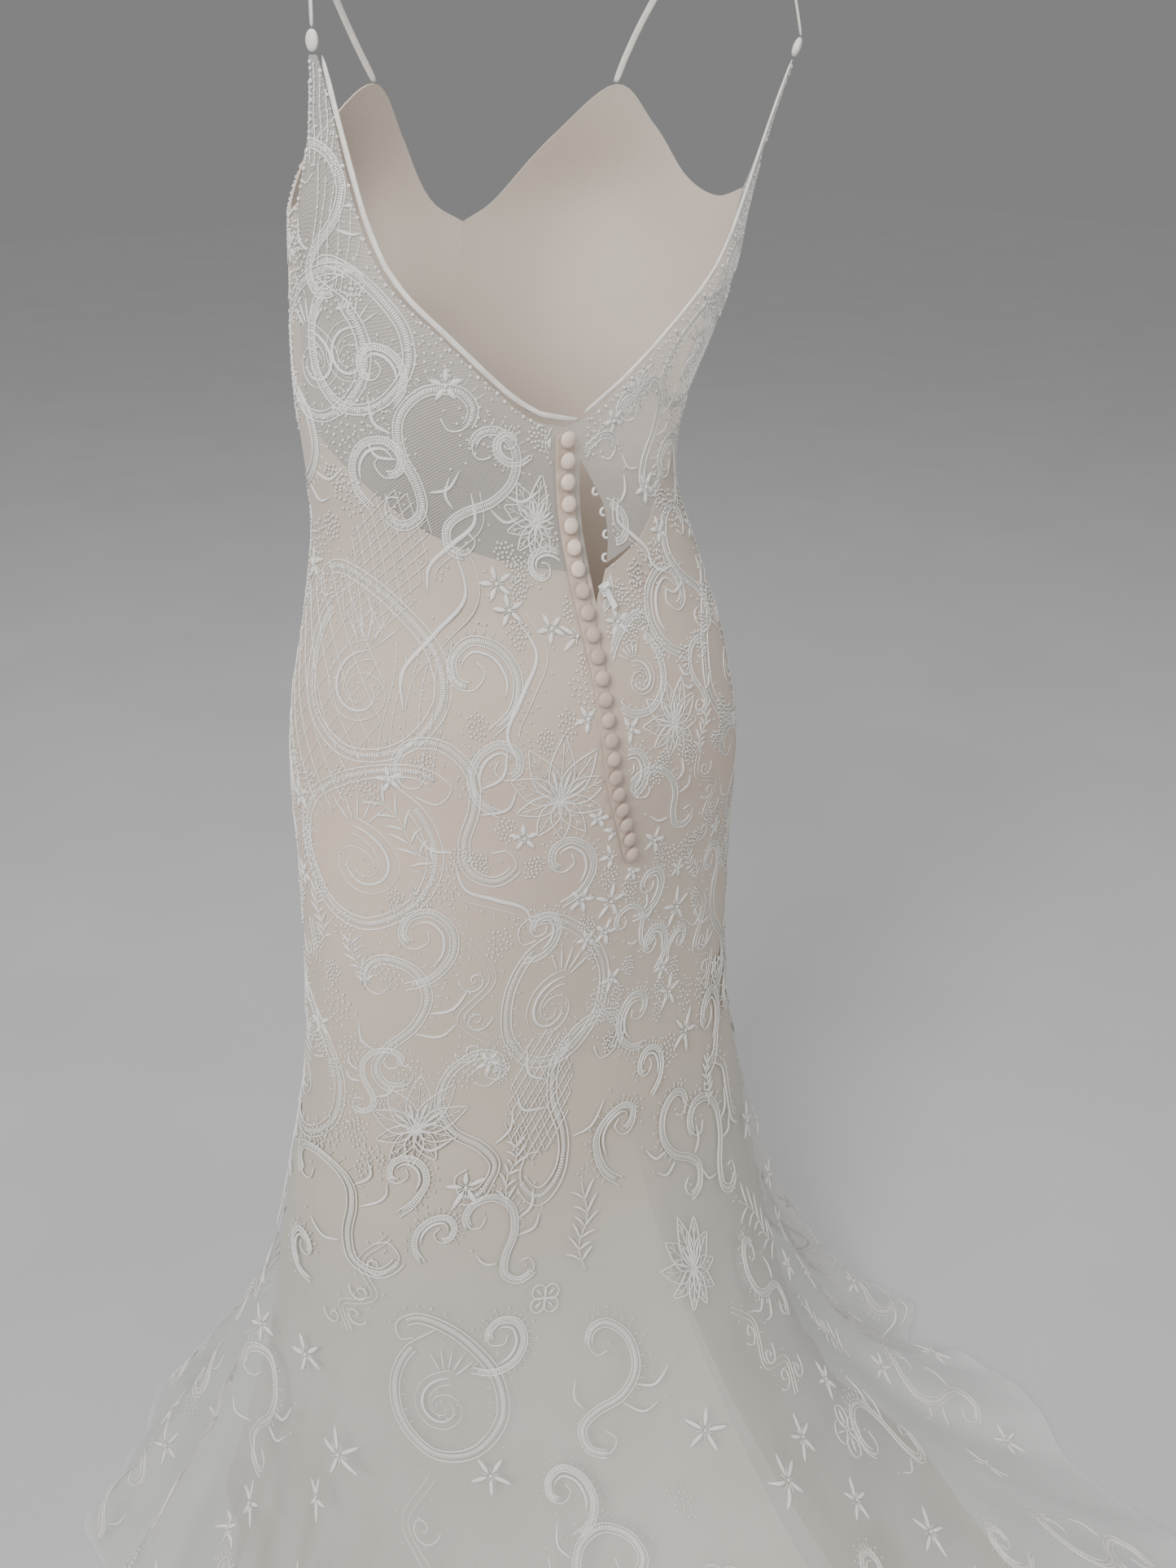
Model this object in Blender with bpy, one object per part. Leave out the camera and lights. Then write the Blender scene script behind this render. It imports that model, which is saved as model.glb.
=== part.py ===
"""Fit-and-flare wedding gown, held up at the shoulders as it is when worn.

Metres, +Z up. The front faces -Y, the back faces +Y and the wearer's left is +X.
The origin is the middle point between the tops of the two straps.
Every cloth piece is a closed wall, laid out on one form by two coordinates:
an angle in degrees, 0 at the centre back and positive towards +X, and a level,
which is the height above the floor down to the knee and runs on to 0 at the hem.
"""
import math

import bmesh
import bpy
from mathutils import Matrix, Vector
from mathutils.bvhtree import BVHTree

# Driving sizes
SHOULDER_HEIGHT = 1.45
KNEE_LEVEL = 0.52
LINED_WALL = 0.0020
NET_WALL = 0.0012
GAP = 0.0003
NET_CLEAR = 0.0006
NORMAL_STEP_ANGLE = 0.4
NORMAL_STEP_LEVEL = 0.002
SHARP_ANGLE = 40.0

# Sections of the fitted part: half width, depth to the front and to the back,
# turn about the vertical and how far the section leans towards +X.
RING_COLUMNS = ("height", "half_width", "front", "back", "turn", "lean")
RINGS = (
    (0.52, 0.235, 0.130, 0.132, -10.0, 0.024),
    (0.60, 0.231, 0.120, 0.118, -11.0, 0.017),
    (0.70, 0.228, 0.112, 0.113, -11.0, 0.013),
    (0.78, 0.216, 0.108, 0.118, -7.0, 0.015),
    (0.84, 0.201, 0.106, 0.125, -1.0, 0.022),
    (0.88, 0.193, 0.104, 0.125, 0.0, 0.026),
    (0.92, 0.185, 0.102, 0.118, 0.0, 0.028),
    (0.96, 0.173, 0.098, 0.105, 0.0, 0.030),
    (1.00, 0.161, 0.093, 0.092, 0.0, 0.033),
    (1.04, 0.152, 0.089, 0.083, -1.0, 0.037),
    (1.08, 0.154, 0.089, 0.079, -1.0, 0.037),
    (1.12, 0.158, 0.096, 0.083, 2.0, 0.033),
    (1.16, 0.164, 0.107, 0.088, 5.0, 0.024),
    (1.20, 0.167, 0.117, 0.092, 8.0, 0.016),
    (1.24, 0.169, 0.121, 0.094, 8.0, 0.010),
    (1.30, 0.174, 0.112, 0.092, 9.5, -0.002),
    (1.36, 0.185, 0.096, 0.088, 11.0, -0.015),
)

# Each cup is a soft rise in the front panels.
CUP_ANGLE = 143.0
CUP_HEIGHT = 1.235
CUP_DEPTH = 0.020
CUP_SPREAD_ANGLE = 22.0
CUP_SPREAD_HEIGHT = 0.055

# Skirt below the knee, by angle from the centre back: hem radius of the lined
# skirt, how much further the net reaches, how hollow the fall is, and how late
# the flare begins, where less than 1 kicks out at once.
SKIRT_COLUMNS = ("angle", "hem_radius", "net_reach", "hollow", "flare")
SKIRT = (
    (0.0, 0.700, 0.220, 1.90, 1.25),
    (10.0, 0.590, 0.215, 1.90, 1.25),
    (21.0, 0.455, 0.170, 1.80, 1.15),
    (37.0, 0.365, 0.115, 1.70, 1.00),
    (55.0, 0.325, 0.100, 1.50, 0.85),
    (75.0, 0.312, 0.100, 1.30, 0.80),
    (105.0, 0.312, 0.120, 1.20, 0.80),
    (132.0, 0.310, 0.120, 1.15, 0.90),
    (165.0, 0.302, 0.080, 1.10, 1.00),
    (180.0, 0.300, 0.070, 1.10, 1.00),
)
NET_RIPPLE = 0.7
NET_LEAVES = 2.0

# Folds: ridge angle, half width in degrees, depth at the hem and how far down
# the skirt the fold begins, from 0 at the knee to 1 at the hem.
# Columns: angle, half_width, depth, begins.
LINED_FOLDS = (
    (-171.0, 15.0, 0.012, 0.25),
    (-139.0, 17.0, 0.015, 0.15),
    (-110.0, 14.0, 0.012, 0.30),
    (-83.0, 13.0, 0.009, 0.20),
    (-56.0, 16.0, 0.024, 0.00),
    (-30.0, 13.0, 0.012, 0.30),
    (-10.0, 11.0, 0.014, 0.40),
    (15.0, 12.0, 0.016, 0.25),
    (39.0, 13.0, 0.012, 0.20),
    (65.0, 14.0, 0.015, 0.20),
    (90.0, 13.0, 0.009, 0.30),
    (113.0, 13.0, 0.024, 0.02),
    (141.0, 16.0, 0.015, 0.20),
    (167.0, 14.0, 0.012, 0.30),
)
NET_FOLDS = (
    (-170.0, 13.0, 0.018, 0.10),
    (-146.0, 12.0, 0.026, 0.05),
    (-122.0, 13.0, 0.020, 0.15),
    (-99.0, 12.0, 0.030, 0.10),
    (-77.0, 12.0, 0.026, 0.15),
    (-55.0, 11.0, 0.030, 0.05),
    (-36.0, 11.0, 0.036, 0.20),
    (-18.0, 11.0, 0.030, 0.15),
    (4.0, 11.0, 0.038, 0.25),
    (24.0, 11.0, 0.030, 0.10),
    (44.0, 11.0, 0.034, 0.20),
    (66.0, 12.0, 0.034, 0.00),
    (88.0, 12.0, 0.024, 0.15),
    (112.0, 13.0, 0.034, 0.05),
    (136.0, 12.0, 0.018, 0.15),
    (158.0, 13.0, 0.018, 0.05),
)

# Seams between the panels and how finely each panel is divided.
# Columns: name, from_angle, to_angle, columns, net_columns.
PANELS = (
    ("back", 0.0, 42.0, 8, 16),
    ("side_back", 42.0, 88.0, 8, 14),
    ("side_front", 88.0, 140.0, 7, 12),
    ("front", 140.0, 180.0, 5, 7),
)
SIDE_SEAM = 88.0
WAIST_LEVEL = 0.97
SIDE_TOP_LEVEL = 1.12
SIDE_MID_LEVEL = 1.148
WAIST_ROWS = 4
BODY_LEVELS = (0.93, 0.88, 0.84, 0.80, 0.75, 0.70, 0.64, 0.58, KNEE_LEVEL)
SKIRT_ROWS = 10

# Upper edges, as height by angle: the edge of the lined back below the sheer
# net, and the neckline from the side seam to the centre front. The straps come
# down to the highest point of each cup.
STRAP_CUP_ANGLE = 148.0
STRAP_CUP_HEIGHT = 1.318
EDGE_COLUMNS = ("angle", "height")
SHEER_EDGE = (
    (0.0, 1.002),
    (22.0, 1.020),
    (42.0, 1.045),
    (66.0, 1.086),
    (88.0, 1.120),
)
NECKLINE = (
    (88.0, 1.250),
    (102.0, 1.243),
    (118.0, 1.256),
    (133.0, 1.290),
    (STRAP_CUP_ANGLE, STRAP_CUP_HEIGHT),
    (160.0, 1.282),
    (171.0, 1.238),
    (180.0, 1.222),
)

# The V of the sheer back, from its lowest point to the strap, and the armhole.
V_EDGE = (
    (0.0, 1.108),
    (10.0, 1.117),
    (21.5, 1.142),
    (34.5, 1.174),
    (46.0, 1.200),
    (54.5, 1.228),
    (62.5, 1.272),
    (68.0, 1.312),
    (71.5, 1.336),
)
V_CROWDING = 0.8
ARMHOLE_BOTTOM = 1.250
ARMHOLE_TOP_ANGLE = 76.0
ARMHOLE_HOLLOW = 3.0
STRAP_JOIN_HEIGHT = 1.336
LACE_CENTRE_ROWS = 5
LACE_SIDE_ROWS = 4
LACE_V_ROWS = 9

# Centre back closure: the button line stands off the opening's edge, and the
# free edge bows away from it over the keyhole.
BUTTON_COUNT = 22
BUTTON_TOP = 1.100
BUTTON_BOTTOM = 0.776
BUTTON_RADIUS = 0.0058
BUTTON_RISE = 0.0050
BUTTON_BACK_RADIUS = 0.0050
BUTTON_EDGE_RISE = 0.0014
BUTTON_CROWN_RADIUS = 0.0043
BUTTON_CROWN_RISE = 0.0040
BUTTON_SIDES = 9
EDGE_SETBACK = 0.0070
CLOSURE_END = 0.760
CLOSURE_FADE = 0.050
KEYHOLE_COLUMNS = ("height", "width")
KEYHOLE = (
    (0.978, 0.0),
    (0.986, 0.0022),
    (0.994, 0.0060),
    (1.004, 0.0092),
    (1.023, 0.0125),
    (1.044, 0.0125),
    (1.066, 0.0062),
    (1.084, 0.0),
)
PLACKET_TOP = 1.104
PLACKET_TIP = 0.764
PLACKET_POINT_LENGTH = 0.012
PLACKET_HALF_WIDTH = 0.0042
PLACKET_TIP_SHARE = 0.15
PLACKET_WALL = 0.0012
PLACKET_ROWS = 32
SETTLE_REACH = 0.010
LAID_CLEAR = 0.0008
BUTTON_CLEAR = 0.0005

LOOP_HEIGHTS = (1.058, 1.042, 1.026, 1.010)
LOOP_RADIUS = 0.0026
LOOP_CORD = 0.0009
LOOP_SHANK = 0.0006
LOOP_STEPS = 6

NECK_EDGE_WIDTH = 0.0042
NECK_EDGE_PROUD = 0.0005
NECK_EDGE_CLEAR = 0.0006

STRAP_WIDTH = 0.0052
STRAP_THICKNESS = 0.0018
STRAP_TOP_HALF_SPAN = 0.160
STRAP_STEPS = 7
STRAP_BEVEL = 0.7
STRAP_TAUTNESS = 1.35
SHOULDER_INSIDE = 0.100
SHOULDER_BELOW = 0.100
KNOT_HALF_HEIGHT = 0.0068
KNOT_HALF_WIDTH = 0.0055
KNOT_HALF_DEPTH = 0.0032
KNOT_SIDES = 8
KNOT_ROWS = 6

SLIDER_HEIGHT = 0.989
SLIDER_TILT = 20.0
SLIDER_OFFSET = 0.0050
SLIDER_WIDTH = 0.0068
SLIDER_LENGTH = 0.0092
SLIDER_THICKNESS = 0.0022
PULL_WIDTH = 0.0046
PULL_LENGTH = 0.0180
PULL_THICKNESS = 0.0011
EYE_OUTER = 0.00155
EYE_INNER = 0.00095
PIN_RADIUS = 0.00060
PIN_INSET = 0.00060
PIN_SUNK = 0.00030
EAR_SUNK = 0.00050
EAR_RISE = 0.00124
EYE_SIDES = 12
TAB_LIFT = 0.00005
TAB_SUNK = 0.00025


def column(table, names, name):
    """All the values of one named column of a table."""
    place = names.index(name)
    return [row[place] for row in table]


def smooth(xs, ys, at):
    """Value on a smooth curve through the points, level beyond both ends."""
    if at <= xs[0]:
        return ys[0]
    if at >= xs[-1]:
        return ys[-1]
    last = len(xs) - 1
    i = max(k for k in range(last) if xs[k] <= at)

    def slope(k):
        low, high = max(k - 1, 0), min(k + 1, last)
        return (ys[high] - ys[low]) / (xs[high] - xs[low])

    width = xs[i + 1] - xs[i]
    t = (at - xs[i]) / width
    start = (2 * t**3 - 3 * t**2 + 1) * ys[i] + (t**3 - 2 * t**2 + t) * width * slope(i)
    end = (3 * t**2 - 2 * t**3) * ys[i + 1] + (t**3 - t**2) * width * slope(i + 1)
    return start + end


def read(table, names, name, at):
    """One column of a table, read at a value of its first column."""
    return smooth(column(table, names, names[0]), column(table, names, name), at)


def blend(low, high, share):
    return low + (high - low) * share


def ease(share):
    """Soft step from 0 to 1."""
    share = min(max(share, 0.0), 1.0)
    return share * share * (3.0 - 2.0 * share)


def signed_turn(degrees):
    """The same angle between -180 and 180."""
    return (degrees + 180.0) % 360.0 - 180.0


def ring(name, height):
    return read(RINGS, RING_COLUMNS, name, height)


def on_body(angle, height):
    """A point of the fitted part."""
    turn = math.radians(ring("turn", height))
    around = math.radians(angle)
    depth = ring("back" if math.cos(around) > 0.0 else "front", height)
    off_cup = (abs(signed_turn(angle)) - CUP_ANGLE) / CUP_SPREAD_ANGLE
    off_cup_height = (height - CUP_HEIGHT) / CUP_SPREAD_HEIGHT
    rise = CUP_DEPTH * math.exp(-off_cup**2 - off_cup_height**2)
    across = (ring("half_width", height) + rise) * math.sin(around)
    along = (depth + rise) * math.cos(around)
    x = across * math.cos(turn) + along * math.sin(turn) + ring("lean", height)
    y = along * math.cos(turn) - across * math.sin(turn)
    return Vector((x, y, height - SHOULDER_HEIGHT))


def fold_depth(folds, angle, down):
    """How far all the folds of a table push the cloth out at one place."""
    push = 0.0
    for ridge, half_width, depth, begins in folds:
        off = abs(signed_turn(angle - ridge)) / half_width
        if off < 1.0:
            grown = ease((down - begins) / (1.0 - begins))
            push += depth * grown * math.cos(math.pi * off / 2.0) ** 2
    return push


def skirt_value(name, angle):
    """One column of the skirt's table at an angle, the same to left and right."""
    return read(SKIRT, SKIRT_COLUMNS, name, abs(signed_turn(angle)))


def knee_point(angle):
    """A point of the knee section and the level direction straight out from it."""
    knee = on_body(angle, KNEE_LEVEL)
    centre = Vector((ring("lean", KNEE_LEVEL), 0.0, knee.z))
    return knee, (knee - centre).normalized(), (knee - centre).length


def on_skirt(angle, level):
    """A point of the lined skirt below the knee."""
    down = 1.0 - max(level, 0.0) / KNEE_LEVEL
    point, outward, radius = knee_point(angle)
    spread_out = (skirt_value("hem_radius", angle) - radius) * down ** skirt_value("flare", angle)
    point += outward * (spread_out + fold_depth(LINED_FOLDS, angle, down))
    lift = LINED_WALL + GAP
    point.z = lift + (KNEE_LEVEL - lift) * (1.0 - down) ** skirt_value("hollow", angle)
    point.z -= SHOULDER_HEIGHT
    return point


def lined(angle, level):
    """Outer face of the lined panels."""
    if level >= KNEE_LEVEL:
        return on_body(angle, level)
    return on_skirt(angle, level)


def net(angle, level):
    """Outer face of the net skirt, which lies on the lined one at the knee."""
    level = min(level, KNEE_LEVEL)
    down = 1.0 - max(level, 0.0) / KNEE_LEVEL
    push = fold_depth(NET_FOLDS, angle, down)
    hollow = skirt_value("hollow", angle)
    laid = normal(lined, angle, level) * (NET_CLEAR + NET_WALL)
    point = lined(angle, level) + laid
    point += knee_point(angle)[1] * (skirt_value("net_reach", angle) * down**NET_LEAVES + push)
    point.z += push * NET_RIPPLE * (hollow - 1.0) * (1.0 - (1.0 - down) ** hollow)
    point.z -= (laid.z + LINED_WALL - NET_WALL) * down
    return point


def normal(face, angle, level):
    """Outward direction of a face at one place."""
    low = max(level - NORMAL_STEP_LEVEL, 0.0)
    around = face(angle + NORMAL_STEP_ANGLE, level) - face(angle - NORMAL_STEP_ANGLE, level)
    upward = face(angle, level + NORMAL_STEP_LEVEL) - face(angle, low)
    return upward.cross(around).normalized()


def new_material(name, colour, roughness, metallic=0.0):
    """A Principled material with plain values."""
    material = bpy.data.materials.new(name)
    material.use_nodes = True
    shader = material.node_tree.nodes["Principled BSDF"]
    shader.inputs["Base Color"].default_value = (*colour, 1.0)
    shader.inputs["Roughness"].default_value = roughness
    shader.inputs["Metallic"].default_value = metallic
    material.diffuse_color = (*colour, 1.0)
    return material


def add_object(name, mesh, material):
    piece = bpy.data.objects.new(name, mesh)
    bpy.context.collection.objects.link(piece)
    if material.name not in piece.data.materials:
        piece.data.materials.append(material)
    return piece


def mesh_from(name, points, faces):
    """A mesh with its faces turned outwards."""
    mesh = bpy.data.meshes.new(name)
    mesh.from_pydata([tuple(point) for point in points], [], faces)
    shape = bmesh.new()
    shape.from_mesh(mesh)
    bmesh.ops.recalc_face_normals(shape, faces=shape.faces)
    shape.to_mesh(mesh)
    shape.free()
    mesh.shade_smooth()
    mesh.set_sharp_from_angle(angle=math.radians(SHARP_ANGLE))
    return mesh


def wall_mesh(name, outer, inner):
    """A closed wall between two equal grids of points."""
    rows, columns = len(outer), len(outer[0])
    points = [point for row in outer for point in row]
    points += [point for row in inner for point in row]
    inside = rows * columns

    def at(row, place):
        return row * columns + place

    faces = []
    for row in range(rows - 1):
        for place in range(columns - 1):
            a, b = at(row, place), at(row, place + 1)
            c, d = at(row + 1, place + 1), at(row + 1, place)
            halves = ((a, b, c), (a, c, d))
            if (points[b] - points[d]).length < (points[a] - points[c]).length:
                halves = ((a, b, d), (b, c, d))
            for half in halves:
                faces.append(half)
                faces.append(tuple(inside + corner for corner in reversed(half)))
    rim = [at(0, place) for place in range(columns)]
    rim += [at(row, columns - 1) for row in range(1, rows)]
    rim += [at(rows - 1, place) for place in reversed(range(columns - 1))]
    rim += [at(row, 0) for row in reversed(range(1, rows - 1))]
    for here, after in zip(rim, rim[1:] + rim[:1]):
        first, second = min(here, after), max(here, after)
        faces.append((first, inside + first, inside + second))
        faces.append((first, inside + second, second))
    return mesh_from(name, points, faces)


def draw_in(grid):
    """Pull the four edges of a grid in by half a gap, clear of the neighbours."""
    rows, columns = len(grid), len(grid[0])
    drawn = [[point.copy() for point in row] for row in grid]
    for row in range(rows):
        for edge, beside in ((0, 1), (columns - 1, columns - 2)):
            inward = (grid[row][beside] - grid[row][edge]).normalized()
            drawn[row][edge] += inward * GAP / 2.0
    for place in range(columns):
        for edge, beside in ((0, 1), (rows - 1, rows - 2)):
            inward = (grid[beside][place] - grid[edge][place]).normalized()
            drawn[edge][place] += inward * GAP / 2.0
    return drawn


def grid_normal(grid, row, place, likely):
    """Normal of a grid of points at an inner one, on the same side as a likely one."""
    across = grid[row][place + 1] - grid[row][place - 1]
    down = grid[row + 1][place] - grid[row - 1][place]
    found = across.cross(down).normalized()
    return found if found.dot(likely) > 0.0 else -found


def cloth_piece(name, face, places, wall, material, to_floor=False):
    """A wall on a face of the gown, from a grid of (angle, level) places."""
    outer = draw_in([[face(*place) for place in row] for row in places])
    inner = []
    for row, line in enumerate(outer):
        inner.append([])
        for place, point in enumerate(line):
            away = normal(face, *places[row][place])
            if 0 < row < len(outer) - 1 and 0 < place < len(line) - 1:
                away = grid_normal(outer, row, place, away)
            inner[-1].append(point - away * wall)
    if to_floor:
        floor = -SHOULDER_HEIGHT
        for row in inner:
            for point in row:
                point.z = max(point.z, floor)
        for point in inner[-1]:
            point.z = floor
    return add_object(name, wall_mesh(name, outer, inner), material)


def closure_angle(height, side):
    """Centre back edge of one side; the left edge stands beside the buttons."""
    fade = ease((height - CLOSURE_END) / CLOSURE_FADE + 1.0)
    depth = ring("back", max(height, KNEE_LEVEL))
    offset = EDGE_SETBACK * fade
    if side < 0:
        offset += read(KEYHOLE, KEYHOLE_COLUMNS, "width", height)
    return -math.degrees(offset / depth)


def spread(low, high, count):
    """Evenly spaced values, both ends included."""
    return [blend(low, high, step / count) for step in range(count + 1)]


def side_levels():
    """Heights along the side seam of the bodice, from the sheer edge to the armhole."""
    lower = spread(SIDE_TOP_LEVEL, SIDE_MID_LEVEL, LACE_CENTRE_ROWS)
    return lower + spread(SIDE_MID_LEVEL, ARMHOLE_BOTTOM, LACE_SIDE_ROWS)[1:]


def panel_levels(from_angle, top):
    """Levels of one column of a lined panel, from its top edge to the hem."""
    levels = []
    if from_angle >= SIDE_SEAM:
        for height in reversed(side_levels()[1:]):
            share = (height - SIDE_TOP_LEVEL) / (ARMHOLE_BOTTOM - SIDE_TOP_LEVEL)
            levels.append(blend(SIDE_TOP_LEVEL, top, share))
        top = SIDE_TOP_LEVEL
    levels += spread(top, WAIST_LEVEL, WAIST_ROWS)
    levels += BODY_LEVELS
    levels += spread(KNEE_LEVEL, 0.0, SKIRT_ROWS)[1:]
    return levels


def panel_places(from_angle, to_angle, columns, side):
    """Grid of (angle, level) for one lined panel."""
    by_column = []
    for angle in spread(from_angle, to_angle, columns):
        if from_angle >= SIDE_SEAM:
            top = read(NECKLINE, EDGE_COLUMNS, "height", angle)
        else:
            top = read(SHEER_EDGE, EDGE_COLUMNS, "height", angle)
        by_column.append([(angle, level) for level in panel_levels(from_angle, top)])
    rows = []
    for row in zip(*by_column):
        row = [(side * angle, level) for angle, level in row]
        if from_angle == 0.0:
            row = from_closure(row, side, to_angle)
        rows.append(row)
    return rows


def from_closure(row, side, to_angle):
    """Stretch a row of places so that it starts at the centre back edge."""
    edge = side * closure_angle(row[0][1], side)
    stretched = []
    for angle, level in row:
        share = abs(angle) / to_angle
        stretched.append((side * blend(edge, to_angle, share), level))
    return stretched


def v_places(side):
    """The V edge from the centre back to the strap, as (angle, height)."""
    start = side * closure_angle(V_EDGE[0][1], side)
    places = []
    for share in spread(0.0, 1.0, LACE_V_ROWS):
        angle = blend(start, V_EDGE[-1][0], share**V_CROWDING)
        places.append((angle, read(V_EDGE, EDGE_COLUMNS, "height", angle)))
    return places


def lace_places(side):
    """Grid of (angle, height) for one side of the sheer back."""
    v_edge = v_places(side)
    centre = [(side * closure_angle(height, side), height)
              for height in spread(SHEER_EDGE[0][1], v_edge[0][1], LACE_CENTRE_ROWS)]
    inner_edge = centre[:-1] + v_edge
    rows = len(inner_edge) - 1
    outer_edge = [(SIDE_SEAM, height) for height in side_levels()]
    for share in spread(0.0, 1.0, LACE_V_ROWS - LACE_SIDE_ROWS)[1:]:
        hollow = ARMHOLE_HOLLOW * math.sin(math.pi * share)
        angle = blend(SIDE_SEAM, ARMHOLE_TOP_ANGLE, share) - hollow
        outer_edge.append((angle, blend(ARMHOLE_BOTTOM, STRAP_JOIN_HEIGHT, share)))
    foot = []
    for _, start, end, columns, _ in PANELS[:2]:
        top_row = panel_places(start, end, columns, side)[0]
        foot += [(side * angle, height) for angle, height in top_row][len(foot) > 0:]
    last = len(foot) - 1
    grid = []
    for row in range(rows + 1):
        fade = (1.0 - row / rows) ** 2
        places = []
        for place, (foot_angle, foot_height) in enumerate(foot):
            share = place / last
            straight_angle = blend(inner_edge[0][0], outer_edge[0][0], share)
            straight_height = blend(inner_edge[0][1], outer_edge[0][1], share)
            angle = blend(inner_edge[row][0], outer_edge[row][0], share)
            height = blend(inner_edge[row][1], outer_edge[row][1], share)
            angle += (foot_angle - straight_angle) * fade
            height += (foot_height - straight_height) * fade
            places.append((side * angle, height))
        grid.append(places)
    return grid[::-1]


def build_panels(lining, sheer, tulle):
    """Lined panels, the sheer back and the net skirt; gives back what the buttons lie on."""
    laid_on = []
    for side, hand in ((1, "left"), (-1, "right")):
        for name, start, end, columns, net_columns in PANELS:
            places = panel_places(start, end, columns, side)
            panel = cloth_piece(name + "_" + hand, lined, places, LINED_WALL, lining, to_floor=True)
            laid_on += [panel] if start == 0.0 else []
            levels = spread(KNEE_LEVEL, 0.0, SKIRT_ROWS)
            angles = spread(start, end, net_columns)
            places = [[(side * angle, level) for angle in angles] for level in levels]
            cloth_piece("net_" + name + "_" + hand, net, places, NET_WALL, tulle, to_floor=True)
        laid_on.append(cloth_piece("lace_back_" + hand, lined, lace_places(side), NET_WALL, sheer))
    return laid_on


def sweep_mesh(name, loops):
    """A closed tube through loops of equal length, with flat ends."""
    count = len(loops[0])
    points = [point for loop in loops for point in loop]
    faces = [tuple(range(count)), tuple(range(len(points) - count, len(points)))]
    for step in range(len(loops) - 1):
        for side in range(count):
            here, after = step * count + side, step * count + (side + 1) % count
            faces.append((here, after, after + count, here + count))
    return mesh_from(name, points, faces)


def build_neck_edges(material):
    """Narrow edging beside each V edge, a little thicker than the net."""
    for side, hand in ((1, "left"), (-1, "right")):
        grid = lace_places(side)
        v_rows = grid[:LACE_V_ROWS + 1]
        edge = [lined(*row[0]) for row in v_rows]
        opening = lined(0.0, ARMHOLE_BOTTOM)
        loops = []
        for i, point in enumerate(edge):
            out = normal(lined, *v_rows[i][0])
            along = (edge[min(i + 1, len(edge) - 1)] - edge[max(i - 1, 0)]).normalized()
            if i == len(edge) - 1:
                along = out.cross(Vector((0, 0, 1))).normalized()
            away = out.cross(along).normalized()
            if away.dot(opening - point) < 0.0:
                away.negate()
            near = point + away * NECK_EDGE_CLEAR
            far = near + away * NECK_EDGE_WIDTH
            above = out * NECK_EDGE_PROUD
            below = out * (NET_WALL + NECK_EDGE_PROUD)
            loops.append([near + above, far + above, far - below, near - below])
        add_object("neck_edge_" + hand, sweep_mesh("neck_edge_" + hand, loops), material)


def tree_of(pieces):
    """The built faces of some pieces, to lay others on."""
    points, faces = [], []
    for piece in pieces:
        start = len(points)
        points += [piece.matrix_world @ vertex.co for vertex in piece.data.vertices]
        faces += [[start + corner for corner in face.vertices] for face in piece.data.polygons]
    return BVHTree.FromPolygons(points, faces)


def settled(tree, point, out):
    """The place where a point comes to lie on the cloth when pressed inwards."""
    hit = tree.ray_cast(point + out * SETTLE_REACH, -out, 2.0 * SETTLE_REACH)[0]
    return hit if hit else point


def build_placket(cloth, material):
    """Strip under the buttons, with a point at its lower end."""
    outer, inner = [], []
    for level in spread(PLACKET_TOP, PLACKET_TIP, PLACKET_ROWS):
        share = min((level - PLACKET_TIP) / PLACKET_POINT_LENGTH, 1.0)
        half = PLACKET_HALF_WIDTH * max(share, PLACKET_TIP_SHARE)
        half_angle = math.degrees(half / ring("back", level))
        outer_row, inner_row = [], []
        for angle in (-half_angle, 0.0, half_angle):
            out = normal(lined, angle, level)
            point = settled(cloth, lined(angle, level), out) + out * LAID_CLEAR
            inner_row.append(point)
            outer_row.append(point + out * PLACKET_WALL)
        outer.append(outer_row)
        inner.append(inner_row)
    return add_object("button_placket", wall_mesh("button_placket", outer, inner), material)


def frame_on(angle, height, lift, cloth=None):
    """A place on the outside of the gown: x across, y up along it, z outwards."""
    out = normal(lined, angle, height)
    up = (Vector((0, 0, 1)) - out * out.z).normalized()
    across = up.cross(out)
    turn = Matrix((across, up, out)).transposed()
    point = lined(angle, height)
    if cloth:
        point = settled(cloth, point, out)
    return Matrix.Translation(point + out * lift) @ turn.to_4x4()


def dome_mesh():
    """Covered button: a flat back, a rounded edge and a low dome."""
    profile = ((BUTTON_BACK_RADIUS, 0.0), (BUTTON_RADIUS, BUTTON_EDGE_RISE),
               (BUTTON_CROWN_RADIUS, BUTTON_CROWN_RISE))
    points = [Vector((0, 0, 0))]
    for radius, rise in profile:
        for step in range(BUTTON_SIDES):
            turn = 2.0 * math.pi * step / BUTTON_SIDES
            points.append(Vector((radius * math.cos(turn), radius * math.sin(turn), rise)))
    points.append(Vector((0, 0, BUTTON_RISE)))
    faces = []
    for step in range(BUTTON_SIDES):
        here, after = 1 + step, 1 + (step + 1) % BUTTON_SIDES
        faces.append((0, after, here))
        for level in range(len(profile) - 1):
            low, high = level * BUTTON_SIDES, (level + 1) * BUTTON_SIDES
            faces.append((here + low, after + low, after + high, here + high))
        top = (len(profile) - 1) * BUTTON_SIDES
        faces.append((here + top, after + top, len(points) - 1))
    return mesh_from("button", points, faces)


def build_buttons(cloth, material):
    """Buttons in a row down the placket, all of one shape."""
    mesh = dome_mesh()
    heights = spread(BUTTON_TOP, BUTTON_BOTTOM, BUTTON_COUNT - 1)
    for number, height in enumerate(heights, start=1):
        piece = add_object("button_%02d" % number, mesh, material)
        piece.matrix_world = frame_on(0.0, height, BUTTON_CLEAR, cloth)


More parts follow.
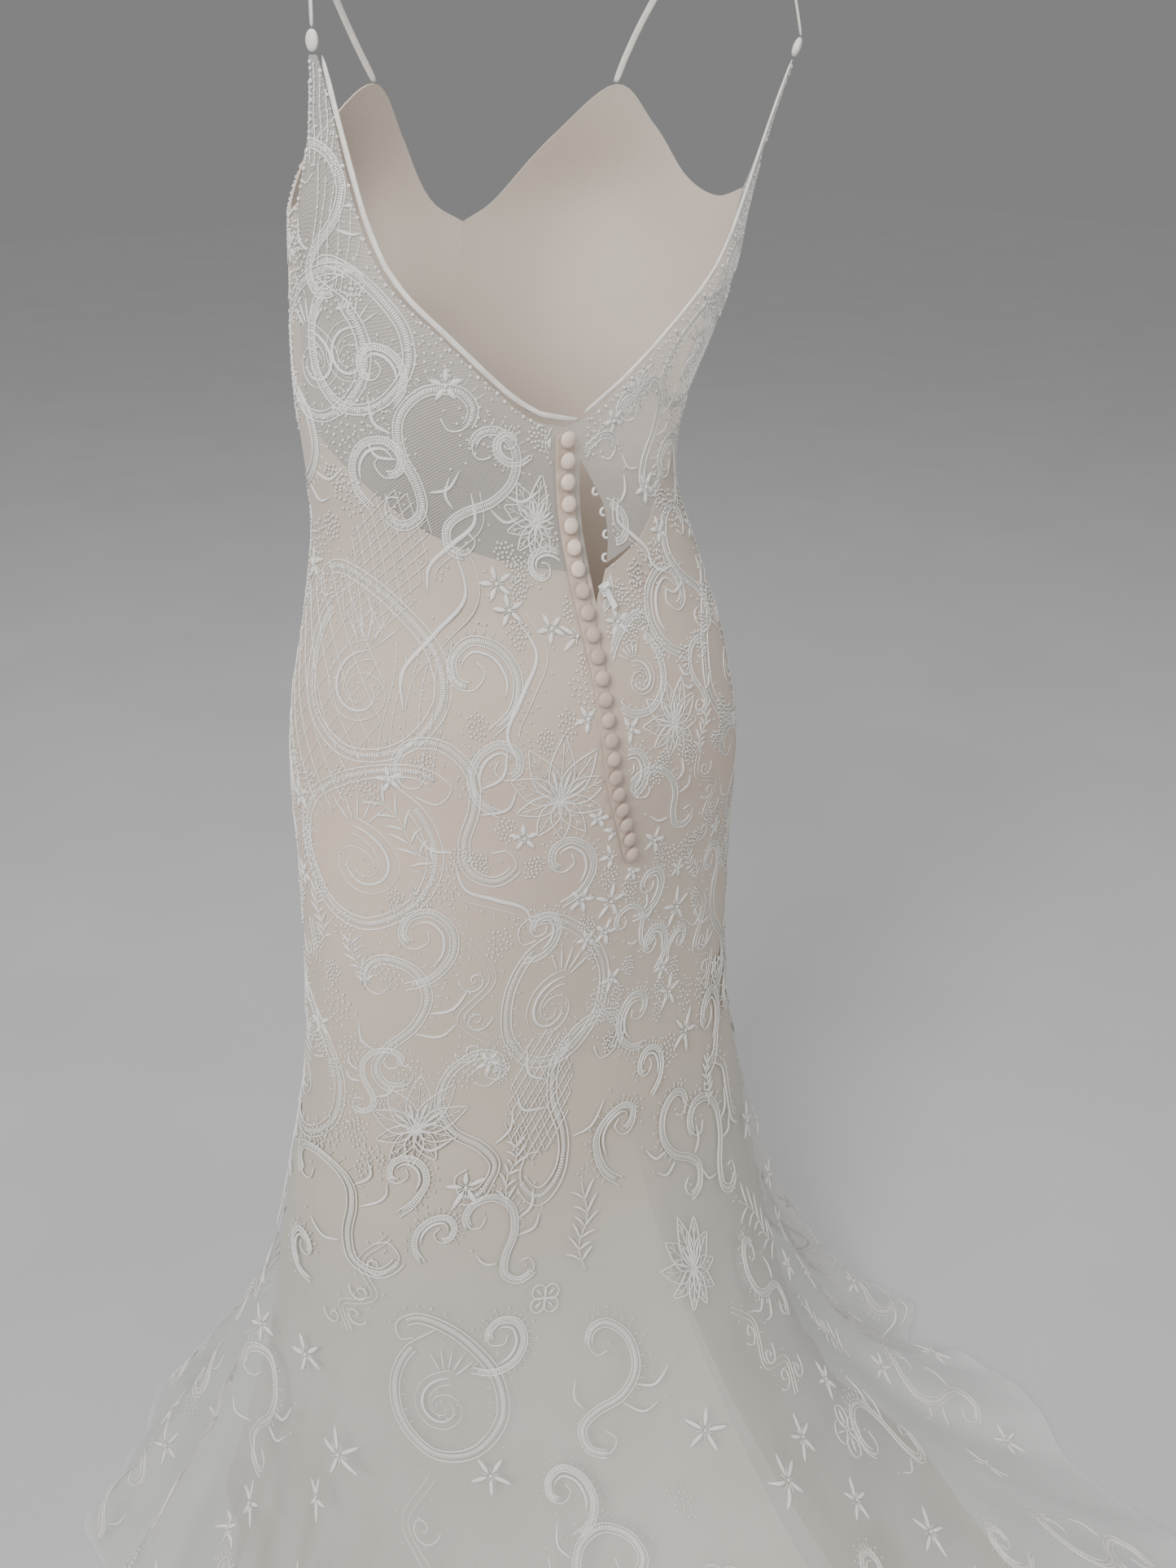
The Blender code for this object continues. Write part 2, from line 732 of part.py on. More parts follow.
def build_loops(material):
    """Elastic loops that stand in the keyhole off the free edge."""
    edge = [lined(*row[0]) for row in lace_places(-1)][LACE_V_ROWS:]
    for number, height in enumerate(LOOP_HEIGHTS, start=1):
        level = height - SHOULDER_HEIGHT
        above, below = [pair for pair in zip(edge, edge[1:]) if pair[0].z >= level >= pair[1].z][0]
        on_edge = above.lerp(below, (above.z - level) / (above.z - below.z))
        out = normal(lined, closure_angle(height, -1), height)
        up = (above - below).normalized()
        turn = Matrix((up.cross(out), up, out)).transposed().to_4x4()
        place = Matrix.Translation(on_edge - out * NET_WALL / 2.0) @ turn
        curve = bpy.data.curves.new("loop_%d" % number, "CURVE")
        curve.dimensions = "3D"
        curve.bevel_depth = LOOP_CORD
        curve.bevel_resolution = 1
        curve.use_fill_caps = True
        spline = curve.splines.new("POLY")
        turns = spread(0.0, 180.0, LOOP_STEPS)
        spline.points.add(len(turns) + 1)
        start = GAP * 1.5
        points = [Vector((start, LOOP_RADIUS, 0.0))]
        for turn in turns:
            bow = math.radians(turn)
            points.append(Vector((start + LOOP_SHANK + LOOP_RADIUS * math.sin(bow),
                                  LOOP_RADIUS * math.cos(bow), 0.0)))
        points.append(Vector((start, -LOOP_RADIUS, 0.0)))
        for point, target in zip(spline.points, points):
            point.co = (-target.x, target.y, target.z, 1.0)
        piece = add_object("loop_%d" % number, curve, material)
        piece.matrix_world = place


def build_straps(material):
    """Thin flat straps from the knot at the back, over the shoulder, to the cup."""
    for side, hand in ((1, "left"), (-1, "right")):
        join_angle = side * blend(V_EDGE[-1][0], ARMHOLE_TOP_ANGLE, 0.5)
        knot = frame_on(join_angle, STRAP_JOIN_HEIGHT + KNOT_HALF_HEIGHT + GAP, -NET_WALL / 2.0)
        build_knot("strap_knot_" + hand, knot, material)
        start = knot @ Vector((0.0, KNOT_HALF_HEIGHT + GAP, 0.0))
        cup = lined(side * STRAP_CUP_ANGLE, STRAP_CUP_HEIGHT)
        cup_out = normal(lined, side * STRAP_CUP_ANGLE, STRAP_CUP_HEIGHT)
        end = cup + Vector((0.0, 0.0, LAID_CLEAR)) - cup_out * LINED_WALL / 2.0
        turn = math.radians(ring("turn", SHOULDER_HEIGHT))
        top = Vector((side * STRAP_TOP_HALF_SPAN * math.cos(turn),
                      -side * STRAP_TOP_HALF_SPAN * math.sin(turn), -STRAP_THICKNESS / 2.0))
        build_strap("strap_" + hand, (start, top, end), side, material)


def build_knot(name, place, material):
    shape = bmesh.new()
    bmesh.ops.create_uvsphere(shape, u_segments=KNOT_SIDES, v_segments=KNOT_ROWS, radius=1.0)
    bmesh.ops.scale(shape, vec=(KNOT_HALF_WIDTH, KNOT_HALF_DEPTH, KNOT_HALF_HEIGHT), verts=shape.verts)
    bmesh.ops.rotate(shape, matrix=Matrix.Rotation(-math.pi / 2.0, 3, "X"), verts=shape.verts)
    mesh = bpy.data.meshes.new(name)
    shape.to_mesh(mesh)
    shape.free()
    mesh.shade_smooth()
    piece = add_object(name, mesh, material)
    piece.matrix_world = place


def build_strap(name, stations, side, material):
    """Flat strap in two drawn-out arcs that meet at its highest point."""
    start, top, end = stations
    path = []
    for low, turns in ((start, spread(0.0, 90.0, STRAP_STEPS)), (end, spread(90.0, 0.0, STRAP_STEPS)[1:])):
        for turn in turns:
            rise = math.sin(math.radians(turn)) ** STRAP_TAUTNESS
            run = 1.0 - max(math.cos(math.radians(turn)), 0.0) ** STRAP_TAUTNESS
            path.append(Vector((blend(low.x, top.x, rise), blend(low.y, top.y, run),
                                blend(low.z, top.z, rise))))
    loops = []
    for i, point in enumerate(path):
        along = (path[min(i + 1, len(path) - 1)] - path[max(i - 1, 0)]).normalized()
        out = point - Vector((side * SHOULDER_INSIDE, 0.0, -SHOULDER_BELOW))
        out = (out - along * out.dot(along)).normalized()
        across = along.cross(out)
        wide, thick = STRAP_WIDTH / 2.0, STRAP_THICKNESS / 2.0
        flat = STRAP_BEVEL
        corners = ((-1.0, 0.0), (-flat, 1.0), (flat, 1.0), (1.0, 0.0), (flat, -1.0), (-flat, -1.0))
        loops.append([point + across * wide * u + out * thick * v for u, v in corners])
    add_object(name, sweep_mesh(name, loops), material)


def box_mesh(name, low, high):
    shape = bmesh.new()
    bmesh.ops.create_cube(shape, size=1.0)
    size = [b - a for a, b in zip(low, high)]
    middle = [(a + b) / 2.0 for a, b in zip(low, high)]
    bmesh.ops.scale(shape, vec=size, verts=shape.verts)
    bmesh.ops.translate(shape, vec=middle, verts=shape.verts)
    mesh = bpy.data.meshes.new(name)
    shape.to_mesh(mesh)
    shape.free()
    return mesh


def build_zip(cloth, material):
    """Slider with two ears and a pin, and the pull tab that hangs from the pin."""
    edge = closure_angle(SLIDER_HEIGHT, 1) - math.degrees(SLIDER_OFFSET / ring("back", SLIDER_HEIGHT))
    tilt = Matrix.Rotation(math.radians(SLIDER_TILT), 4, "Z")
    place = frame_on(edge, SLIDER_HEIGHT, LAID_CLEAR, cloth) @ tilt
    half, length = SLIDER_WIDTH / 2.0, SLIDER_LENGTH / 2.0
    pin_height = SLIDER_THICKNESS + EYE_OUTER + GAP
    pin_up = length - EYE_OUTER - PIN_INSET
    body = add_object("zip_slider", box_mesh("zip_slider", (-half, -length, 0.0),
                                             (half, length, SLIDER_THICKNESS)), material)
    ear_inside = PULL_WIDTH / 2.0 + GAP
    pieces = []
    for side in (-1.0, 1.0):
        ends = sorted((side * ear_inside, side * half))
        low = (ends[0], pin_up - EYE_OUTER, SLIDER_THICKNESS - EAR_SUNK)
        high = (ends[1], pin_up + EYE_OUTER, pin_height + EAR_RISE)
        pieces.append(box_mesh("ear", low, high))
    pin = bmesh.new()
    turn = Matrix.Rotation(math.pi / 2.0, 4, "Y")
    bmesh.ops.create_cone(pin, cap_ends=True, segments=8, radius1=PIN_RADIUS, radius2=PIN_RADIUS,
                          depth=2.0 * (ear_inside + PIN_SUNK),
                          matrix=Matrix.Translation((0.0, pin_up, pin_height)) @ turn)
    pin_mesh = bpy.data.meshes.new("pin")
    pin.to_mesh(pin_mesh)
    pin.free()
    pieces.append(pin_mesh)
    for number, mesh in enumerate(pieces):
        tool = bpy.data.objects.new("slider_tool_%d" % number, mesh)
        bpy.context.collection.objects.link(tool)
        tool.hide_render = True
        tool.display_type = "WIRE"
        tool.matrix_world = place
        join = body.modifiers.new("join_%d" % number, "BOOLEAN")
        join.operation = "UNION"
        join.solver = "EXACT"
        join.object = tool
    body.matrix_world = place
    build_pull(place @ Matrix.Translation((0.0, pin_up, pin_height)), material)


def build_pull(place, material):
    """Pull tab with its origin on the hinge axis, its own X."""
    sides = EYE_SIDES
    outer, hole = [], []
    for step in range(sides):
        turn = 2.0 * math.pi * step / sides
        outer.append(Vector((0.0, EYE_OUTER * math.cos(turn), EYE_OUTER * math.sin(turn))))
        hole.append(Vector((0.0, EYE_INNER * math.cos(turn), EYE_INNER * math.sin(turn))))
    half = PULL_WIDTH / 2.0
    points, faces = [], []
    for across in (-half, half):
        points += [point + Vector((across, 0.0, 0.0)) for point in outer + hole]
    count = 2 * sides
    for step in range(sides):
        after = (step + 1) % sides
        faces.append((step, after, after + count, step + count))
        faces.append((sides + after, sides + step, sides + step + count, sides + after + count))
        faces.append((after, step, sides + step, sides + after))
        faces.append((step + count, after + count, sides + after + count, sides + step + count))
    eye = mesh_from("zip_pull", points, faces)
    piece = add_object("zip_pull", eye, material)
    tab = box_mesh("tab", (-half, -PULL_LENGTH, -EYE_OUTER + TAB_LIFT),
                   (half, -EYE_INNER - TAB_SUNK, -EYE_OUTER + PULL_THICKNESS))
    tool = bpy.data.objects.new("pull_tool", tab)
    bpy.context.collection.objects.link(tool)
    tool.hide_render = True
    tool.display_type = "WIRE"
    tool.matrix_world = place
    join = piece.modifiers.new("join", "BOOLEAN")
    join.operation = "UNION"
    join.solver = "EXACT"
    join.object = tool
    piece.matrix_world = place


def main():
    for old in list(bpy.data.objects):
        bpy.data.objects.remove(old, do_unlink=True)
    lining = new_material("lined_lace", (0.80, 0.72, 0.66), 0.55)
    sheer = new_material("sheer_lace", (0.88, 0.84, 0.80), 0.60)
    tulle = new_material("tulle", (0.82, 0.82, 0.80), 0.65)
    satin = new_material("satin", (0.86, 0.78, 0.72), 0.40)
    elastic = new_material("elastic", (0.92, 0.92, 0.90), 0.60)
    enamel = new_material("zip_enamel", (0.90, 0.90, 0.88), 0.35)
    back_pieces = build_panels(lining, sheer, tulle)
    build_neck_edges(satin)
    cloth = tree_of(back_pieces)
    placket = build_placket(cloth, satin)
    build_buttons(tree_of([placket]), satin)
    build_loops(elastic)
    build_straps(satin)
    build_zip(cloth, enamel)


main()
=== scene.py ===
# %% [markdown]
# A fit-and-flare wedding gown seen from behind: a sheer lace back cut in a deep V, a
# fitted body of ivory embroidery over a blush lining, and a skirt of soft net. The
# rigid model comes in first and stays fixed. Everything below is laid on it.

# %% Load the frame
import math

import bpy
import numpy as np
from mathutils import Matrix, Vector


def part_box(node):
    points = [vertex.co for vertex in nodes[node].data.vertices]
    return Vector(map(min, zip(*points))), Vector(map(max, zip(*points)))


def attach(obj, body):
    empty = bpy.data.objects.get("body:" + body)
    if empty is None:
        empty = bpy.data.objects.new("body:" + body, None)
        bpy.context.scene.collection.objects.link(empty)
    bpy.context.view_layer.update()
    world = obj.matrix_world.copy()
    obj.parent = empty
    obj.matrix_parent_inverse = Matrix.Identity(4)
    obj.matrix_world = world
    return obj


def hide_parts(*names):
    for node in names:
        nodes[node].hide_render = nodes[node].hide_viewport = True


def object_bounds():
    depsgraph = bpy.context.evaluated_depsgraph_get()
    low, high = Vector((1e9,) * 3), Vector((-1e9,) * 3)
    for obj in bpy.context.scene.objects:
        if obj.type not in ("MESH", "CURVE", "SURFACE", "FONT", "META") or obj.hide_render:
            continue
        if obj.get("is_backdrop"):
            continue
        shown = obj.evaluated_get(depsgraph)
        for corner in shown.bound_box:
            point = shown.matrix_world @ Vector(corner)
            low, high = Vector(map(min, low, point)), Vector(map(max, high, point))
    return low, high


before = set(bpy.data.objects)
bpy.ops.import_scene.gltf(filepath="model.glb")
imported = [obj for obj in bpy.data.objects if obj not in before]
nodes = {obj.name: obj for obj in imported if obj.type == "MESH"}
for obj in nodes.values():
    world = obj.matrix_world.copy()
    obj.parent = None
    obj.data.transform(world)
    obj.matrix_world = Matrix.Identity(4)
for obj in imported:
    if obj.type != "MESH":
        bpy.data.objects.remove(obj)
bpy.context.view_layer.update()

print("CAD nodes", len(nodes))

# %% [markdown]
# The cloth lies on one form, described by an angle from the centre back and a level,
# which is the height above the floor. These tables hold the same sizes as the solids,
# so that finer cloth made from them lies where the solids are.

# %% The gown's own sizes
SHOULDER_HEIGHT = 1.45
KNEE_LEVEL = 0.52
LINED_WALL = 0.0020
NET_WALL = 0.0012
GAP = 0.0003
NET_CLEAR = 0.0006
RINGS = np.array((  # height, half width, front, back, turn, lean
    (0.52, 0.235, 0.130, 0.132, -10.0, 0.024),
    (0.60, 0.231, 0.120, 0.118, -11.0, 0.017),
    (0.70, 0.228, 0.112, 0.113, -11.0, 0.013),
    (0.78, 0.216, 0.108, 0.118, -7.0, 0.015),
    (0.84, 0.201, 0.106, 0.125, -1.0, 0.022),
    (0.88, 0.193, 0.104, 0.125, 0.0, 0.026),
    (0.92, 0.185, 0.102, 0.118, 0.0, 0.028),
    (0.96, 0.173, 0.098, 0.105, 0.0, 0.030),
    (1.00, 0.161, 0.093, 0.092, 0.0, 0.033),
    (1.04, 0.152, 0.089, 0.083, -1.0, 0.037),
    (1.08, 0.154, 0.089, 0.079, -1.0, 0.037),
    (1.12, 0.158, 0.096, 0.083, 2.0, 0.033),
    (1.16, 0.164, 0.107, 0.088, 5.0, 0.024),
    (1.20, 0.167, 0.117, 0.092, 8.0, 0.016),
    (1.24, 0.169, 0.121, 0.094, 8.0, 0.010),
    (1.30, 0.174, 0.112, 0.092, 9.5, -0.002),
    (1.36, 0.185, 0.096, 0.088, 11.0, -0.015)))
CUP_ANGLE, CUP_HEIGHT, CUP_DEPTH = 143.0, 1.235, 0.020
CUP_SPREAD_ANGLE, CUP_SPREAD_HEIGHT = 22.0, 0.055
SKIRT = np.array((  # angle, hem radius, net reach, hollow, flare
    (0.0, 0.700, 0.220, 1.90, 1.25),
    (10.0, 0.590, 0.215, 1.90, 1.25),
    (21.0, 0.455, 0.170, 1.80, 1.15),
    (37.0, 0.365, 0.115, 1.70, 1.00),
    (55.0, 0.325, 0.100, 1.50, 0.85),
    (75.0, 0.312, 0.100, 1.30, 0.80),
    (105.0, 0.312, 0.120, 1.20, 0.80),
    (132.0, 0.310, 0.120, 1.15, 0.90),
    (165.0, 0.302, 0.080, 1.10, 1.00),
    (180.0, 0.300, 0.070, 1.10, 1.00)))
NET_RIPPLE, NET_LEAVES = 0.7, 2.0
LINED_FOLDS = (  # ridge angle, half width, depth, begins
    (-171.0, 15.0, 0.012, 0.25), (-139.0, 17.0, 0.015, 0.15),
    (-110.0, 14.0, 0.012, 0.30), (-83.0, 13.0, 0.009, 0.20),
    (-56.0, 16.0, 0.024, 0.00), (-30.0, 13.0, 0.012, 0.30),
    (-10.0, 11.0, 0.014, 0.40), (15.0, 12.0, 0.016, 0.25),
    (39.0, 13.0, 0.012, 0.20), (65.0, 14.0, 0.015, 0.20),
    (90.0, 13.0, 0.009, 0.30), (113.0, 13.0, 0.024, 0.02),
    (141.0, 16.0, 0.015, 0.20), (167.0, 14.0, 0.012, 0.30))
NET_FOLDS = (
    (-170.0, 13.0, 0.018, 0.10), (-146.0, 12.0, 0.026, 0.05),
    (-122.0, 13.0, 0.020, 0.15), (-99.0, 12.0, 0.030, 0.10),
    (-77.0, 12.0, 0.026, 0.15), (-55.0, 11.0, 0.030, 0.05),
    (-36.0, 11.0, 0.036, 0.20), (-18.0, 11.0, 0.030, 0.15),
    (4.0, 11.0, 0.038, 0.25), (24.0, 11.0, 0.030, 0.10),
    (44.0, 11.0, 0.034, 0.20), (66.0, 12.0, 0.034, 0.00),
    (88.0, 12.0, 0.024, 0.15), (112.0, 13.0, 0.034, 0.05),
    (136.0, 12.0, 0.018, 0.15), (158.0, 13.0, 0.018, 0.05))
print("sections", len(RINGS), "folds", len(LINED_FOLDS) + len(NET_FOLDS))

# %% [markdown]
# Every size is read from a smooth curve through its table, so the cloth has no corner
# at a section. Whole arrays of places are worked out at once, which keeps a fine sheet
# as quick to make as a coarse one.

# %% The form of the gown
def smooth(xs, ys, at):
    slopes = np.gradient(ys)
    slopes[1:-1] = (ys[2:] - ys[:-2]) / (xs[2:] - xs[:-2])
    slopes[0] = (ys[1] - ys[0]) / (xs[1] - xs[0])
    slopes[-1] = (ys[-1] - ys[-2]) / (xs[-1] - xs[-2])
    at = np.clip(at, xs[0], xs[-1])
    i = np.clip(np.searchsorted(xs, at, side="right") - 1, 0, len(xs) - 2)
    width = xs[i + 1] - xs[i]
    t = (at - xs[i]) / width
    start = (2 * t**3 - 3 * t**2 + 1) * ys[i] + (t**3 - 2 * t**2 + t) * width * slopes[i]
    end = (3 * t**2 - 2 * t**3) * ys[i + 1] + (t**3 - t**2) * width * slopes[i + 1]
    return start + end


def read(table, column, at):
    return smooth(table[:, 0], table[:, column].copy(), np.asarray(at, float))


def ease(share):
    share = np.clip(share, 0.0, 1.0)
    return share * share * (3.0 - 2.0 * share)


def signed(angle):
    return (np.asarray(angle, float) + 180.0) % 360.0 - 180.0


def on_body(angle, height):
    angle, height = np.broadcast_arrays(np.asarray(angle, float), np.asarray(height, float))
    turn, around = np.radians(read(RINGS, 4, height)), np.radians(angle)
    depth = np.where(np.cos(around) > 0, read(RINGS, 3, height), read(RINGS, 2, height))
    off_cup = (np.abs(signed(angle)) - CUP_ANGLE) / CUP_SPREAD_ANGLE
    rise = CUP_DEPTH * np.exp(-off_cup**2 - ((height - CUP_HEIGHT) / CUP_SPREAD_HEIGHT) ** 2)
    across = (read(RINGS, 1, height) + rise) * np.sin(around)
    along = (depth + rise) * np.cos(around)
    x = across * np.cos(turn) + along * np.sin(turn) + read(RINGS, 5, height)
    y = along * np.cos(turn) - across * np.sin(turn)
    return np.stack((x, y, height - SHOULDER_HEIGHT), -1)


def fold_depth(folds, angle, down):
    push = 0.0
    for ridge, half_width, depth, begins in folds:
        off = np.clip(np.abs(signed(angle - ridge)) / half_width, 0.0, 1.0)
        push = push + depth * ease((down - begins) / (1.0 - begins)) * np.cos(math.pi * off / 2) ** 2
    return push


def knee_point(angle):
    knee = on_body(angle, KNEE_LEVEL)
    arm = knee - np.array((RINGS[0, 5], 0.0, KNEE_LEVEL - SHOULDER_HEIGHT))
    radius = np.linalg.norm(arm, axis=-1)
    return knee, arm / radius[..., None], radius


def lined(angle, level):
    angle, level = np.broadcast_arrays(np.asarray(angle, float), np.asarray(level, float))
    body = on_body(angle, np.maximum(level, KNEE_LEVEL))
    down = np.clip(1.0 - np.maximum(level, 0.0) / KNEE_LEVEL, 0.0, 1.0)
    knee, outward, radius = knee_point(angle)
    at = np.abs(signed(angle))
    grown = (read(SKIRT, 1, at) - radius) * down ** read(SKIRT, 4, at)
    skirt = knee + outward * (grown + fold_depth(LINED_FOLDS, angle, down))[..., None]
    lift = LINED_WALL + GAP
    skirt[..., 2] = lift + (KNEE_LEVEL - lift) * (1.0 - down) ** read(SKIRT, 3, at) - SHOULDER_HEIGHT
    return np.where((level >= KNEE_LEVEL)[..., None], body, skirt)


def normal(face, angle, level, step=0.002):
    around = face(angle + 0.4, level) - face(angle - 0.4, level)
    upward = face(angle, level + step) - face(angle, np.maximum(level - step, 0.0))
    out = np.cross(upward, around)
    return out / np.linalg.norm(out, axis=-1, keepdims=True)


def net(angle, level):
    angle, level = np.broadcast_arrays(np.asarray(angle, float), np.asarray(level, float))
    level = np.minimum(level, KNEE_LEVEL)
    down = 1.0 - np.maximum(level, 0.0) / KNEE_LEVEL
    at = np.abs(signed(angle))
    push, hollow = fold_depth(NET_FOLDS, angle, down), read(SKIRT, 3, at)
    laid = normal(lined, angle, level) * (NET_CLEAR + NET_WALL)
    point = lined(angle, level) + laid
    point += knee_point(angle)[1] * (read(SKIRT, 2, at) * down**NET_LEAVES + push)[..., None]
    point[..., 2] += push * NET_RIPPLE * (hollow - 1.0) * (1.0 - (1.0 - down) ** hollow)
    point[..., 2] -= (laid[..., 2] + LINED_WALL - NET_WALL) * down
    return point


hip = on_body(np.array((90.0, -90.0)), 0.84)
print("hip width in mm", round(1000 * float(np.linalg.norm(hip[0] - hip[1]))))

# %% [markdown]
# The edges of the cloth: the lining ends in a curve below the sheer back, the front
# ends at the neckline over the cups, and the sheer back ends in the V and armhole.
# At the centre back the right side stands away from the buttons in a keyhole.

# %% Edges of the cloth
SHEER_EDGE = np.array(((0.0, 1.002), (22.0, 1.020), (42.0, 1.045), (66.0, 1.086), (88.0, 1.120)))
NECKLINE = np.array(((88.0, 1.250), (102.0, 1.243), (118.0, 1.256), (133.0, 1.290),
                     (148.0, 1.318), (160.0, 1.282), (171.0, 1.238), (180.0, 1.222)))
V_EDGE = np.array(((0.0, 1.108), (10.0, 1.117), (21.5, 1.142), (34.5, 1.174), (46.0, 1.200),
                   (54.5, 1.228), (62.5, 1.272), (68.0, 1.312), (71.5, 1.336)))
KEYHOLE = np.array(((0.978, 0.0), (0.986, 0.0022), (0.994, 0.0060), (1.004, 0.0092),
                    (1.023, 0.0125), (1.044, 0.0125), (1.066, 0.0062), (1.084, 0.0)))
SIDE_SEAM, ARMHOLE_BOTTOM, ARMHOLE_TOP_ANGLE, ARMHOLE_HOLLOW = 88.0, 1.250, 76.0, 3.0
EDGE_SETBACK, CLOSURE_END, CLOSURE_FADE = 0.0070, 0.760, 0.050
arm_share = np.linspace(0.0, 1.0, 40)
arm_angle = SIDE_SEAM + (ARMHOLE_TOP_ANGLE - SIDE_SEAM) * arm_share
arm_angle = arm_angle - ARMHOLE_HOLLOW * np.sin(math.pi * arm_share)
arm_height = ARMHOLE_BOTTOM + (V_EDGE[-1, 1] - ARMHOLE_BOTTOM) * arm_share


def top_edge(angle):
    at = np.abs(signed(angle))
    back = np.where(at < V_EDGE[-1, 0], read(V_EDGE, 1, at), V_EDGE[-1, 1])
    back = np.where(at > arm_angle[-1], np.interp(at, arm_angle[::-1], arm_height[::-1]), back)
    return np.where(at < SIDE_SEAM, back, read(NECKLINE, 1, at))


def closure(height, side):
    height = np.asarray(height, float)
    offset = EDGE_SETBACK * ease((height - CLOSURE_END) / CLOSURE_FADE + 1.0)
    if side < 0:
        offset = offset + read(KEYHOLE, 1, height) * (height > KEYHOLE[0, 0]) * (height < KEYHOLE[-1, 0])
    return -np.degrees(offset / read(RINGS, 3, np.maximum(height, KNEE_LEVEL)))


print("V bottom", float(top_edge(0.0)), "armhole", ARMHOLE_BOTTOM)

# %% [markdown]
# A finish is a small graph of nodes on Blender's Principled shader. The helpers here
# only shorten the wiring: one adds a node and fills its sockets, one makes a ramp.

# %% Helpers for finishes
def new_finish(name, roughness, sheen=0.0):
    finish = bpy.data.materials.new(name)
    finish.use_nodes = True
    shader = finish.node_tree.nodes["Principled BSDF"]
    shader.inputs["Roughness"].default_value = roughness
    shader.inputs["Sheen Weight"].default_value = sheen
    shader.inputs["Sheen Roughness"].default_value = 0.45
    shader.inputs["Specular IOR Level"].default_value = 0.35
    return finish, shader


def node(finish, kind, settings=(), **sockets):
    made = finish.node_tree.nodes.new(kind)
    for key, value in dict(settings).items():
        setattr(made, key, value)
    for key, value in sockets.items():
        socket = made.inputs[key.replace("_", " ")] if isinstance(key, str) else made.inputs[key]
        if isinstance(value, bpy.types.NodeSocket):
            finish.node_tree.links.new(value, socket)
        else:
            socket.default_value = value
    return made


def link(finish, source, target):
    finish.node_tree.links.new(source, target)


def maths(finish, operation, first, second=0.0, third=0.5):
    made = finish.node_tree.nodes.new("ShaderNodeMath")
    made.operation = operation
    for socket, value in zip(made.inputs, (first, second, third)):
        if isinstance(value, bpy.types.NodeSocket):
            finish.node_tree.links.new(value, socket)
        else:
            socket.default_value = value
    return made.outputs[0]


def ramp(finish, value, stops):
    made = finish.node_tree.nodes.new("ShaderNodeValToRGB")
    while len(made.color_ramp.elements) < len(stops):
        made.color_ramp.elements.new(0.5)
    for element, (place, colour) in zip(made.color_ramp.elements, stops):
        element.position = place
        element.color = (*colour, 1.0)
    link(finish, value, made.inputs[0])
    return made.outputs[0]


def waves(finish, vector, across, pitch):
    """Parallel threads: a sine across one coordinate, from 0 to 1, at a pitch in metres."""
    parts = node(finish, "ShaderNodeSeparateXYZ", Vector=vector)
    turned = maths(finish, "MULTIPLY", parts.outputs[across], 2.0 * math.pi / pitch)
    wave = maths(finish, "SINE", turned)
    return maths(finish, "MULTIPLY_ADD", wave, 0.5, 0.5)


def bump(finish, shader, height, distance, strength=0.6):
    made = node(finish, "ShaderNodeBump", Strength=strength, Distance=distance, Height=height)
    link(finish, made.outputs[0], shader.inputs["Normal"])


print("helpers ready")

# %% [markdown]
# The lining is a matt crepe. On the real gown it is blush. Its colour is read from the
# height on the object: blush where it lies on the body, darker and greyer lower down
# where the net stands off it, which is painted shade under the net, and a little darker
# towards the top. A fine crossed weave gives the surface its grain.

# %% Finish of the lining
lining, shader = new_finish("blush_crepe_painted_shade", 0.62, sheen=0.25)
place = node(lining, "ShaderNodeTexCoord")
height = node(lining, "ShaderNodeSeparateXYZ", Vector=place.outputs["Object"]).outputs[2]
cloud = node(lining, "ShaderNodeTexNoise", Vector=place.outputs["Object"], Scale=7.0, Detail=3.0)
shifted = maths(lining, "ADD", maths(lining, "MULTIPLY", cloud.outputs[0], 0.22), height)
share = maths(lining, "MULTIPLY", maths(lining, "ADD", shifted, 1.50), 1.0 / 1.25)
# painted shade: this ramp on height darkens and greys the lining towards the floor, and a little towards
# the top
tone = ramp(lining, share, ((0.0, (0.47, 0.43, 0.36)), (0.35, (0.50, 0.445, 0.37)),
                            (0.60, (0.55, 0.475, 0.395)), (0.80, (0.60, 0.485, 0.395)),
                            (1.0, (0.54, 0.46, 0.39))))
link(lining, tone, shader.inputs["Base Color"])
warp = waves(lining, place.outputs["UV"], 0, 0.0009)
weft = waves(lining, place.outputs["UV"], 1, 0.0009)
bump(lining, shader, maths(lining, "MULTIPLY", warp, weft), 0.0002, 0.5)

# %% [markdown]
# Net is mostly holes. Its alpha is a mesh of two crossing thread directions with a
# little cloudiness, so that layers build up where the skirt folds over itself. The
# sheer back is more open than the body net, and the outer skirt net is finer.

